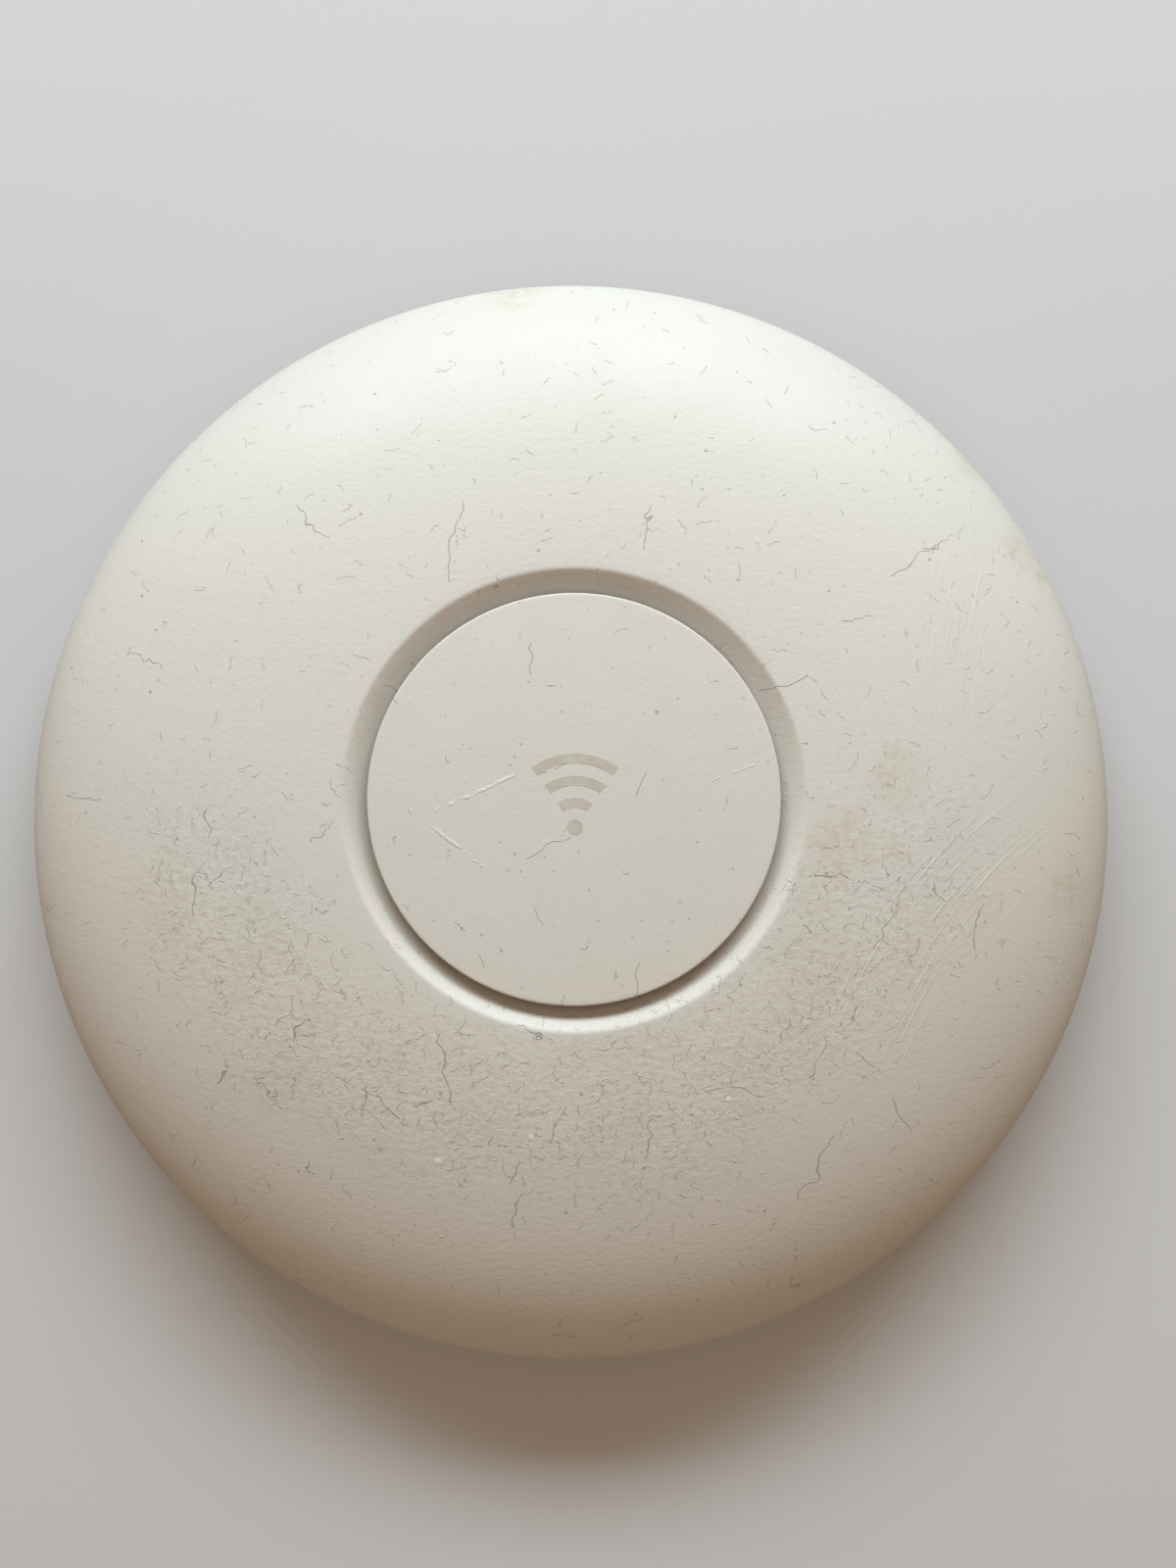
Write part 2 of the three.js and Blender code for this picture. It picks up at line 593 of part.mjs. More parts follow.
function topComponents() {
  const upright = ([w, d, h]) => block([-w / 2, -d / 2, 0], [w / 2, d / 2, h]);
  const made = group(
    antennas(),
    piece('lan_transformer_1', upright([16, 12, 4.2]), 'blackPlastic', [JACK_X.main, -8, 0]),
    piece('lan_transformer_2', upright([16, 12, 4.2]), 'blackPlastic', [JACK_X.second, -8, 0]),
    piece('power_transformer', upright([15, 14, 2.2]), 'ferrite', [16, 12, 0]),
    piece('power_inductor', drum(6, 0, 4, [0, 0], 24), 'ferrite', [-2, 13, 0]),
    ...[-18, -12].map((x, i) => piece(
      `capacitor_${i + 1}`, drum(2.5, 0, 4.5, [0, 0], 20), 'tin', [x, 12, 0])),
    ...LED_ANGLES.map((angle, i) => piece(
      `status_led_${i + 1}`, upright([1.6, 3, 0.8]), 'lamp', [...polar(LED_RADIUS, angle), 0], angle)),
  );
  made.position.z = BOARD_TOP;
  return made;
}

// Screws that come down through the board, head up.
function boardScrews() {
  return group(...BOARD_SCREW_ANGLES.map((angle, i) => {
    const made = piece(`board_screw_${i + 1}`, screw(), 'screwSteel',
      [...polar(BOARD_SCREW_RADIUS, angle), BOARD_TOP + SCREW.headHeight]);
    made.rotation.x = Math.PI;
    return made;
  }));
}

function electronics() {
  return group(
    piece('main_board', mainBoard(), 'board', [0, 0, BOARD_Z]),
    ports(),
    resetParts(),
    coolingParts(),
    topComponents(),
    boardScrews(),
  );
}

export default group(bracketGroup(), casing(), electronics());
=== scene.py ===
# %% [markdown]
# # A ceiling access point
#
# The real object is a shallow white plastic saucer, about 197 mm across, that hangs on a twist-off
# bracket. It lies on its back here, dome up, the way such a thing lies on a table once it has been
# taken down. The CAD frame already holds every piece at its true size and place. This script keeps
# the pieces whose shape is right, rebuilds those whose moulded surface needs finer work, and paints
# all of them with node materials.

import math

import bpy
from mathutils import Matrix, Vector


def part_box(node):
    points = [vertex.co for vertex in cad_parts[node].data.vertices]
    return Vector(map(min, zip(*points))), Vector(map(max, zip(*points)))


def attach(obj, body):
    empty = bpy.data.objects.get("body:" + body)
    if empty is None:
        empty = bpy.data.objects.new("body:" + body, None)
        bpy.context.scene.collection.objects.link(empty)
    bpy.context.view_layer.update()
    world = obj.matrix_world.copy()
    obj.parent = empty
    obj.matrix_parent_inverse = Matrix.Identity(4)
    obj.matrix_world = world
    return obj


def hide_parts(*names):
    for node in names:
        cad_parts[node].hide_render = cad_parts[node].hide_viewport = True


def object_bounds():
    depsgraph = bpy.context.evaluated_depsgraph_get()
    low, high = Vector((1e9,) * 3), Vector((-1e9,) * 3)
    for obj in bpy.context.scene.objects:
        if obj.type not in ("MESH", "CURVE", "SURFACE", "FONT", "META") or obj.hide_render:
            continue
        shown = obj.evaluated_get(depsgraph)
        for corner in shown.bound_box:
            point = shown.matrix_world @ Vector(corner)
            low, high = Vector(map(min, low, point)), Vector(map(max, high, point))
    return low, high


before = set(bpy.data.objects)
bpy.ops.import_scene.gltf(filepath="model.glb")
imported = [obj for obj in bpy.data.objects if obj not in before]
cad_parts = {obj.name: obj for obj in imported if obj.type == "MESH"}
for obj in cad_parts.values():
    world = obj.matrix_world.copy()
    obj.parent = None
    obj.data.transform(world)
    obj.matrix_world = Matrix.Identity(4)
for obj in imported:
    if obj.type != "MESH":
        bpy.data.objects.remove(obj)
cad_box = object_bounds()
scene = bpy.context.scene
MM = 0.001

# %% [markdown]
# ## Sizes
#
# Everything that touches the CAD frame has to agree with it, so the driving sizes are read from
# the frame's boxes where a box shows them. The few that a box can't show, such as the foot of the
# groove inside the cover, are named here in millimetres.

# %% Sizes in millimetres
def mm_box(node):
    """Lowest and highest corner of a CAD node, in millimetres."""
    low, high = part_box(node)
    return low / MM, high / MM


RIM_RADIUS = mm_box("dome_cover")[1].x
RIM_Z = mm_box("dome_cover")[0].z
CAP_RADIUS = mm_box("center_cap")[1].x
CAP_TOP = mm_box("center_cap")[1].z
CAP_FOOT = mm_box("center_cap")[0].z
GROOVE_RADIUS, GROOVE_Z = 38.0, 33.7      # where the groove's sloping wall meets the dome
CREVICE_RADIUS, CREVICE_Z = 33.4, 30.9    # foot of that wall, under the cap's rim
CAP_EDGE_Z, CAP_RIM_Z = 33.95, 32.4       # top and underside of the cap's rim
SKIRT_RADIUS = 31.9                       # outside of the cap's skirt
WALL = 2.0                                # moulded wall
GAP = 0.3                                 # clearance between neighbours
TURN_STEPS = 160                          # facets round the large turned pieces
print(f"rim radius {RIM_RADIUS:.2f}, cap radius {CAP_RADIUS:.2f}, top at {CAP_TOP:.2f} mm")

# %% [markdown]
# ## Working by hand, in code
#
# A person at the keyboard adds a primitive, goes into edit mode, selects some faces, and extrudes,
# insets or bevels them. The helpers below do just that. Each operator acts on whatever is selected,
# and the frame's nodes come in selected, so every new piece starts from an empty selection.

# %% Selecting and switching modes
def fresh():
    """Leave edit mode and select nothing."""
    if bpy.context.object and bpy.context.object.mode != "OBJECT":
        bpy.ops.object.mode_set(mode="OBJECT")
    bpy.ops.object.select_all(action="DESELECT")


def work_on(piece):
    fresh()
    piece.select_set(True)
    bpy.context.view_layer.objects.active = piece


def named(name):
    """Name the object that an operator has just made."""
    piece = bpy.context.object
    piece.name = name
    piece.data.name = name
    return piece


def settle(piece):
    """Put the object's place into its mesh, so that it sits at the origin, unturned, unscaled."""
    work_on(piece)
    bpy.ops.object.transform_apply(location=True, rotation=True, scale=True)
    return piece


# %% [markdown]
# ## Turned pieces
#
# Cover, cap, ring, housing and bracket are all round. Such a shape is drawn as half a section and
# spun about the middle. One vertex is walked along the section by extruding it again and again, and
# the finished line is spun through a full turn. Corners are rounded in the section itself, because
# a moulded edge has the same small radius all the way round.

# %% Sections with rounded corners
def polar(radius, degrees):
    return radius * math.cos(math.radians(degrees)), radius * math.sin(math.radians(degrees))


def rounded(corners, steps=4):
    """Corners are (radius, z) or (radius, z, fillet). Each fillet becomes a small arc."""
    line = []
    for i, corner in enumerate(corners):
        here = Vector(corner[:2])
        fillet = corner[2] if len(corner) > 2 else 0
        if not fillet:
            line.append(here)
            continue
        before = (Vector(corners[i - 1][:2]) - here).normalized()
        after = (Vector(corners[(i + 1) % len(corners)][:2]) - here).normalized()
        start, end = here + before * fillet, here + after * fillet
        for k in range(steps + 1):
            t = k / steps
            line.append(start.lerp(here, t).lerp(here.lerp(end, t), t))
    return line


def bezier(a, b, c, d, steps):
    """Points of a cubic curve, end points included."""
    a, b, c, d = map(Vector, (a, b, c, d))
    line = []
    for k in range(steps + 1):
        t = k / steps
        ab, bc, cd = a.lerp(b, t), b.lerp(c, t), c.lerp(d, t)
        line.append(ab.lerp(bc, t).lerp(bc.lerp(cd, t), t))
    return line


# %% Walking a section and spinning it
def spun(name, section, steps=TURN_STEPS):
    """A piece turned from a closed section, or from one that starts and ends on the axis."""
    fresh()
    bpy.ops.mesh.primitive_plane_add(size=MM)
    piece = named(name)
    bpy.ops.object.mode_set(mode="EDIT")
    bpy.ops.mesh.select_all(action="SELECT")
    bpy.ops.mesh.merge(type="CENTER")
    start = section[0]
    bpy.ops.transform.translate(value=(start[0] * MM, 0, start[1] * MM))
    on_axis = start[0] < 1e-6
    stops = list(section[1:]) + ([] if on_axis else [start])
    for was, now in zip(section, stops):
        step = ((now[0] - was[0]) * MM, 0, (now[1] - was[1]) * MM)
        bpy.ops.mesh.extrude_vertices_move(TRANSFORM_OT_translate={"value": step})
    bpy.ops.mesh.select_all(action="SELECT")
    bpy.ops.mesh.spin(steps=steps, angle=math.tau, center=(0, 0, 0), axis=(0, 0, 1))
    bpy.ops.mesh.select_all(action="SELECT")
    bpy.ops.mesh.remove_doubles(threshold=0.002 * MM)
    bpy.ops.mesh.normals_make_consistent(inside=False)
    bpy.ops.object.mode_set(mode="OBJECT")
    return piece


# %% Bars and drums
def bar(name, low, high):
    """A box between two corners, in millimetres."""
    low, high = Vector(low), Vector(high)
    fresh()
    bpy.ops.mesh.primitive_cube_add(size=1, location=(low + high) / 2 * MM)
    piece = named(name)
    piece.scale = (high - low) * MM
    return settle(piece)


def drum(name, radius, z0, z1, at=(0, 0), sides=32):
    """An upright cylinder, in millimetres."""
    fresh()
    place = (at[0] * MM, at[1] * MM, (z0 + z1) / 2 * MM)
    bpy.ops.mesh.primitive_cylinder_add(
        radius=radius * MM, depth=(z1 - z0) * MM, vertices=sides, location=place
    )
    return settle(named(name))


def turned_about_z(piece, degrees):
    """The piece swung round the middle of the object."""
    piece.rotation_euler.z = math.radians(degrees)
    return settle(piece)


def spoke(name, degrees, half_width, r0, r1, z0, z1):
    """A bar that runs outwards in one direction."""
    return turned_about_z(bar(name, (r0, -half_width, z0), (r1, half_width, z1)), degrees)


def arc_bar(name, r0, r1, start, end, z0, z1, steps=12):
    """A slice of a ring: one upright rectangle, spun through an angle. Spin turns clockwise."""
    fresh()
    bpy.ops.mesh.primitive_plane_add(size=1)
    piece = named(name)
    piece.scale = ((r1 - r0) * MM, (z1 - z0) * MM, 1)
    piece.rotation_euler = (math.pi / 2, 0, 0)
    piece.location = ((r0 + r1) / 2 * MM, 0, (z0 + z1) / 2 * MM)
    settle(piece)
    turned_about_z(piece, end)
    bpy.ops.object.mode_set(mode="EDIT")
    bpy.ops.mesh.select_all(action="SELECT")
    bpy.ops.mesh.spin(
        steps=steps, angle=math.radians(end - start), center=(0, 0, 0), axis=(0, 0, 1)
    )
    bpy.ops.mesh.select_all(action="SELECT")
    bpy.ops.mesh.remove_doubles(threshold=0.001 * MM)
    bpy.ops.mesh.normals_make_consistent(inside=False)
    bpy.ops.object.mode_set(mode="OBJECT")
    return piece


# %% [markdown]
# ## Joining, cutting and softening
#
# What isn't round is welded on or cut away with exact booleans. A boolean can leave slivers where
# two surfaces nearly meet, and a bevel would stop at the first of them. So close corners are merged
# after each boolean, and the flat faces are made whole again before their edges get a round.

# %% Joining, cutting and softening edges
def apply_modifier(piece, kind, **settings):
    work_on(piece)
    modifier = piece.modifiers.new(kind.title(), kind)
    for name, value in settings.items():
        setattr(modifier, name, value)
    bpy.ops.object.modifier_apply(modifier=modifier.name)


ONE_PLANE = 0.5                           # faces within these degrees count as one plane


def tidied(piece, near=0.004, flat=None):
    """Merge corners closer than near, in millimetres, and faces within flat degrees if given."""
    work_on(piece)
    bpy.ops.object.mode_set(mode="EDIT")
    bpy.ops.mesh.select_all(action="SELECT")
    bpy.ops.mesh.remove_doubles(threshold=near * MM)
    if flat:
        bpy.ops.mesh.dissolve_limited(angle_limit=math.radians(flat))
    bpy.ops.mesh.dissolve_degenerate(threshold=near * MM)
    bpy.ops.object.mode_set(mode="OBJECT")
    return piece


def combine(piece, others, operation):
    """One boolean with each of the other pieces, which are used up."""
    for other in others:
        apply_modifier(piece, "BOOLEAN", operation=operation, object=other, solver="EXACT")
        bpy.data.objects.remove(other)
    return tidied(piece)


def welded(piece, *others):
    return combine(piece, others, "UNION")


def carved(piece, *cutters):
    return combine(piece, cutters, "DIFFERENCE")


def softened(piece, width):
    """A small round on every sharp edge, as a mould leaves."""
    tidied(piece, near=0.02, flat=ONE_PLANE)
    apply_modifier(
        piece, "BEVEL", width=width * MM, segments=2, limit_method="ANGLE",
        angle_limit=math.radians(50), use_clamp_overlap=True,
    )
    return smooth(tidied(piece))


def smooth(piece, angle=35):
    work_on(piece)
    bpy.ops.object.shade_smooth_by_angle(angle=math.radians(angle))
    return piece


def join(name, pieces):
    """Several meshes as one object."""
    fresh()
    for piece in pieces:
        piece.select_set(True)
    bpy.context.view_layer.objects.active = pieces[0]
    bpy.ops.object.join()
    return named(name)


def copied(piece, name, move=(0, 0, 0), turn=0):
    """A copy with its own mesh, turned about Z and then moved, in millimetres."""
    twin = piece.copy()
    twin.data = piece.data.copy()
    twin.name = twin.data.name = name
    scene.collection.objects.link(twin)
    place = Matrix.Translation(Vector(move) * MM) @ Matrix.Rotation(math.radians(turn), 4, "Z")
    twin.data.transform(place)
    return twin


# %% [markdown]
# ## Camera, light and floor
#
# The view is almost straight down from arm's length with a short lens, so the round outline stays
# round and the raised cap shifts a little against it. One large cool lamp, low beyond the top of
# the frame, does most of the lighting, like a window. It makes one side of the ring groove dark
# and the other bright. Everything else comes from a weak warm surround. The floor is plain and
# pale, but it is kept out of the bounced light, because a pale floor would throw light up into the
# shaded side of the dome and hide the fall-off that shows its curve.

# %% Camera
CAMERA_TARGET = Vector((2.4, 3.1, 20.0)) * MM
CAMERA_DISTANCE = 200.6 * MM
CAMERA_AZIMUTH, CAMERA_ELEVATION = -10.46, 85.77
CAMERA_LENS, CAMERA_SENSOR = 26.25, 36.0


def aim(thing, target, up=Vector((0, 1, 0))):
    """Turn a camera or lamp to look at a point, with up towards the top of its view."""
    forward = (target - thing.location).normalized()
    right = forward.cross(up).normalized()
    top = right.cross(forward)
    thing.rotation_euler = Matrix((right, top, -forward)).transposed().to_euler()


def away(azimuth, elevation):
    """Unit vector from a target towards a place seen at that azimuth and elevation."""
    side, rise = math.radians(azimuth), math.radians(elevation)
    level = math.cos(rise)
    return Vector((math.sin(side) * level, -math.cos(side) * level, math.sin(rise)))


fresh()
eye = CAMERA_TARGET + away(CAMERA_AZIMUTH, CAMERA_ELEVATION) * CAMERA_DISTANCE
bpy.ops.object.camera_add(location=eye)
camera = bpy.context.object
camera.data.lens, camera.data.sensor_width = CAMERA_LENS, CAMERA_SENSOR
camera.data.clip_start = 5 * MM
aim(camera, CAMERA_TARGET)
scene.camera = camera
print("camera at", [round(c / MM, 1) for c in eye], "mm")

# %% Window light
LAMP_DISTANCE = 1.3
LAMP_ELEVATION = 30
LAMP_SIZE = (1.7, 0.32)
LAMP_POWER = 23.0
LAMP_COLOR = (0.84, 0.955, 1.0)

middle = Vector((0, 0, 15 * MM))
bpy.ops.object.light_add(type="AREA", location=middle + away(180, LAMP_ELEVATION) * LAMP_DISTANCE)
lamp = bpy.context.object
lamp.name = "window_light"
lamp.data.shape = "RECTANGLE"
lamp.data.size, lamp.data.size_y = LAMP_SIZE
lamp.data.energy, lamp.data.color = LAMP_POWER, LAMP_COLOR
aim(lamp, middle, up=Vector((0, 0, 1)))

# %% Surround: warm above, darker below, and plain pale where the camera looks past the floor
SKY = (0.325, 0.232, 0.158)
GROUND = (0.17, 0.13, 0.10)
BACKDROP = (0.62, 0.60, 0.57)

world = bpy.data.worlds.new("soft_surround")
scene.world = world
world.use_nodes = True
tree = world.node_tree
direction = tree.nodes.new("ShaderNodeTexCoord").outputs["Generated"]
height = tree.nodes.new("ShaderNodeSeparateXYZ")
shade = tree.nodes.new("ShaderNodeMapRange")
blend = tree.nodes.new("ShaderNodeMix")
seen = tree.nodes.new("ShaderNodeMix")
path = tree.nodes.new("ShaderNodeLightPath")
blend.data_type = seen.data_type = "RGBA"
shade.inputs["From Min"].default_value, shade.inputs["From Max"].default_value = -0.05, 0.05
blend.inputs[6].default_value, blend.inputs[7].default_value = (*GROUND, 1), (*SKY, 1)
seen.inputs[7].default_value = (*BACKDROP, 1)
tree.links.new(direction, height.inputs[0])
tree.links.new(height.outputs["Z"], shade.inputs["Value"])
tree.links.new(shade.outputs[0], blend.inputs[0])
tree.links.new(blend.outputs[2], seen.inputs[6])
tree.links.new(path.outputs["Is Camera Ray"], seen.inputs[0])
tree.links.new(seen.outputs[2], tree.nodes["Background"].inputs["Color"])
scene.view_settings.view_transform = "Standard"
print(f"one {LAMP_POWER} W lamp at {LAMP_ELEVATION} degrees and a dim surround")

# %% Floor
FLOOR_SIZE = 6.0
fresh()
bpy.ops.mesh.primitive_plane_add(size=FLOOR_SIZE, location=(0, 0, cad_box[0].z - 0.02 * MM))
floor = settle(named("floor"))
floor.visible_diffuse = False
floor.visible_glossy = False

# %% [markdown]
# ## Writing finishes
#
# Every finish starts as one principled shader, and patterns are laid over it. The patterns read the
# object's own coordinates, in millimetres, so a pattern keeps its true size and stays on the piece
# when the piece moves. The class below only shortens the wiring.

# %% A finish in the making
class Finish:
    def __init__(self, name, color, roughness, metallic=0.0):
        self.material = bpy.data.materials.new(name)
        self.material.use_nodes = True
        self.tree = self.material.node_tree
        self.shader = self.tree.nodes["Principled BSDF"]
        self.set("Base Color", (*color, 1))
        self.set("Roughness", roughness)
        self.set("Metallic", metallic)
        self.height = None
        object_place = self.node("TexCoord").outputs["Object"]
        self.place = self.vector("SCALE", object_place, Scale=1 / MM)

    def node(self, kind, settings=None, sockets=None):
        made = self.tree.nodes.new("ShaderNode" + kind)
        for name, value in (settings or {}).items():
            setattr(made, name, value)
        for name, value in (sockets or {}).items():
            self.plug(made.inputs[name], value)
        return made

    def plug(self, socket, value):
        """A value is either another node's output or a plain number, colour or vector."""
        if isinstance(value, bpy.types.NodeSocket):
            self.tree.links.new(value, socket)
        else:
            socket.default_value = value

    def set(self, socket, value):
        self.plug(self.shader.inputs[socket], value)

    def math(self, operation, *values):
        made = self.node("Math", {"operation": operation}, dict(enumerate(values)))
        return made.outputs[0]

    def vector(self, operation, *values, **more):
        sockets = {**dict(enumerate(values)), **more}
        made = self.node("VectorMath", {"operation": operation}, sockets)
        return made.outputs["Value" if operation in ("LENGTH", "DISTANCE") else "Vector"]

    def window(self, value, start, end, low=0.0, high=1.0):
        """A smooth ramp: low where value is at start, high where it is at end."""
        sockets = dict(zip(("Value", "From Min", "From Max", "To Min", "To Max"),
                           (value, start, end, low, high)))
        return self.node("MapRange", {"interpolation_type": "SMOOTHSTEP"}, sockets).outputs[0]

    def noise(self, size, detail=2.0, place=None, rough=0.5, output="Fac"):
        """Cloudy noise with features of about that many millimetres."""
        sockets = {"Vector": place or self.place, "Scale": 1 / size}
        sockets.update({"Detail": detail, "Roughness": rough})
        return self.node("TexNoise", None, sockets).outputs[output]

    def mix(self, share, under, over, mode="MIX"):
        """Paint one colour over another."""
        sockets = {0: share, 6: under, 7: over}
        return self.node("Mix", {"data_type": "RGBA", "blend_type": mode}, sockets).outputs[2]

    def warped(self, amount, size, place=None):
        """The place, pushed about by noise, which makes straight patterns wander."""
        push = self.noise(size, 1.0, place, output="Color")
        push = self.vector("SCALE", self.vector("SUBTRACT", push, (0.5, 0.5, 0.5)), Scale=amount)
        return self.vector("ADD", place or self.place, push)

    def raise_by(self, height, depth):
        """Bump: height from 0 to 1 stands for that many millimetres, over any bump so far."""
        sockets = {"Height": height, "Distance": depth * MM, "Strength": 1.0}
        if self.height is not None:
            sockets["Normal"] = self.height
        self.height = self.node("Bump", None, sockets).outputs["Normal"]
        self.set("Normal", self.height)


# %% [markdown]
# ### Lint, hairs, specks and stains
#
# The cover has picked up household dirt: short hairs and lint lie all over it, thickest in an arc
# on the port side of the groove, with beige smears among them. Hairs are drawn one to a cell of a
# flat Voronoi pattern. Inside its cell each one is a thin, slightly bowed line that is turned by
# the cell's own random number, and noise makes it wander. Nothing is scattered as geometry, because
# a hair is far thinner than any wall, and the moulded surface should stay clean underneath.

# %% Hairs, specks and spots
def hairs(finish, cell, length, width, share, bow=0.06, wander=1.0, shift=0.0):
    """1 on a hair and 0 off it. Share is how many of the cells hold one."""
    place = finish.vector("ADD", finish.place, (shift, 0.7 * shift, 0))
    place = finish.warped(wander, 0.28 * length, place)
    sockets = {"Vector": place, "Scale": 1 / cell}
    cells = finish.node("TexVoronoi", {"voronoi_dimensions": "2D"}, sockets)
    chance = finish.node("SeparateColor", None, {0: cells.outputs["Color"]}).outputs
    local = finish.vector("SUBTRACT", place, cells.outputs["Position"])
    turn = finish.math("MULTIPLY", chance[0], math.tau)
    sockets = {"Vector": local, "Angle": turn}
    local = finish.node("VectorRotate", {"rotation_type": "Z_AXIS"}, sockets).outputs[0]
    along, across, _ = finish.node("SeparateXYZ", None, {0: local}).outputs
    curve = finish.math("MULTIPLY", finish.math("MULTIPLY", along, along), bow)
    curve = finish.math("MULTIPLY", curve, finish.math("SUBTRACT", chance[1], 0.5))
    offset = finish.math("ABSOLUTE", finish.math("SUBTRACT", across, curve))
    half = finish.math("MULTIPLY_ADD", chance[1], 0.35 * length, 0.15 * length)
    inside = finish.math("LESS_THAN", finish.math("ABSOLUTE", along), half)
    there = finish.math("LESS_THAN", chance[2], share)
    thin = finish.window(offset, width, 0.3 * width)
    return finish.math("MULTIPLY", thin, finish.math("MULTIPLY", inside, there))


def specks(finish, cell, size, share, shift=0.0):
    """Small irregular dots, at most one in each cell."""
    place = finish.vector("ADD", finish.place, (shift, 1.3 * shift, 0))
    place = finish.warped(1.2 * size, 1.5 * size, place)
    sockets = {"Vector": place, "Scale": 1 / cell}
    cells = finish.node("TexVoronoi", {"voronoi_dimensions": "2D"}, sockets)
    chance = finish.node("SeparateColor", None, {0: cells.outputs["Color"]}).outputs
    reach = finish.math("MULTIPLY_ADD", chance[1], size / cell, 0.3 * size / cell)
    dot = finish.math("LESS_THAN", cells.outputs["Distance"], reach)
    return finish.math("MULTIPLY", dot, finish.math("LESS_THAN", chance[2], share))


def spot(finish, x, y, radius, ragged=0.8):
    """A soft, ragged patch."""
    place = finish.warped(ragged * radius, 0.6 * radius)
    flat = finish.vector("MULTIPLY", place, (1, 1, 0))
    distance = finish.vector("DISTANCE", flat, (x, y, 0))
    return finish.window(distance, radius, 0.25 * radius)


def most(finish, values):
    """The largest of several masks."""
    whole = values[0]
    for value in values[1:]:
        whole = finish.math("MAXIMUM", whole, value)
    return whole


# %% Streaks left by a wiping cloth
def wiped(finish, x, y, degrees, length, width):
    """Fine, nearly parallel streaks round one place."""
    local = finish.vector("SUBTRACT", finish.place, (x, y, 0))
    sockets = {"Vector": local, "Angle": -math.radians(degrees)}
    local = finish.node("VectorRotate", {"rotation_type": "Z_AXIS"}, sockets).outputs[0]
    along, across, _ = finish.node("SeparateXYZ", None, {0: local}).outputs
    bent = finish.math("MULTIPLY_ADD", finish.math("MULTIPLY", along, along), 0.006, across)
    squeezed = finish.math("MULTIPLY", along, 0.025)
    drawn = finish.node("CombineXYZ", None, {0: squeezed, 1: bent}).outputs[0]
    streaks = finish.window(finish.noise(0.75, 3.0, drawn, rough=0.65), 0.52, 0.68)
    inside = finish.math(
        "MULTIPLY", finish.window(finish.math("ABSOLUTE", along), length, 0.35 * length),
        finish.window(finish.math("ABSOLUTE", bent), width, 0.4 * width),
    )
    return finish.math("MULTIPLY", streaks, inside)


# %% The soiled white of the cover
WHITE = (0.804, 0.803, 0.779)
YELLOWED = (0.774, 0.763, 0.717)
# A dirt brown, which also stands for painted shade at the foot of the ring groove.
GRIME_AND_SHADE = (0.42, 0.375, 0.31)
HAIR = (0.13, 0.115, 0.095)
STAIN = (0.62, 0.56, 0.40)
CHALK = (0.90, 0.89, 0.87)


def soil_arc(finish):
    """The arc of thick dirt on the port side of the groove."""
    flat = finish.vector("MULTIPLY", finish.warped(14, 22), (1, 1, 0))
    radius = finish.vector("DISTANCE", flat, (-4, 9, 0))
    off = finish.math("ABSOLUTE", finish.math("SUBTRACT", radius, 60.0))
    _, y, _ = finish.node("SeparateXYZ", None, {0: finish.place}).outputs
    return finish.math("MULTIPLY", finish.window(off, 21, 4), finish.window(y, 12, -14))


def groove_dust_and_shade(finish):
    """Settled dust and painted shade towards the foot of the ring groove, less of it to starboard.
    """
    flat = finish.vector("MULTIPLY", finish.place, (1, 1, 0))
    x, _, _ = finish.node("SeparateXYZ", None, {0: finish.place}).outputs
    share = finish.window(x, 34, 4, 0.17, 0.41)
    return finish.math("MULTIPLY", finish.window(finish.vector("LENGTH", flat), 37.8, 35.2), share)


def lint_on(finish, arc):
    """Fine fuzz, curly fibres and specks, thickest inside the arc."""
    fine = finish.math("MULTIPLY_ADD", arc, 0.52, 0.13)
    curly = finish.math("MULTIPLY_ADD", arc, 0.55, 0.07)
    fuzz = most(finish, [
        hairs(finish, 2.9, 2.2, 0.11, fine, bow=0.5, wander=0.8),
        hairs(finish, 4.6, 3.4, 0.12, fine, bow=0.5, wander=1.4, shift=31),
        specks(finish, 2.1, 0.15, fine, shift=11),
    ])
    fibres = most(finish, [
        hairs(finish, 11.0, 9.0, 0.13, curly, bow=0.16, wander=3.4, shift=57),
        hairs(finish, 17.0, 15.0, 0.14, curly, bow=0.08, wander=4.4, shift=127),
        specks(finish, 6.0, 0.22, finish.math("MULTIPLY", fine, 0.6), shift=83),
    ])
    return fuzz, fibres


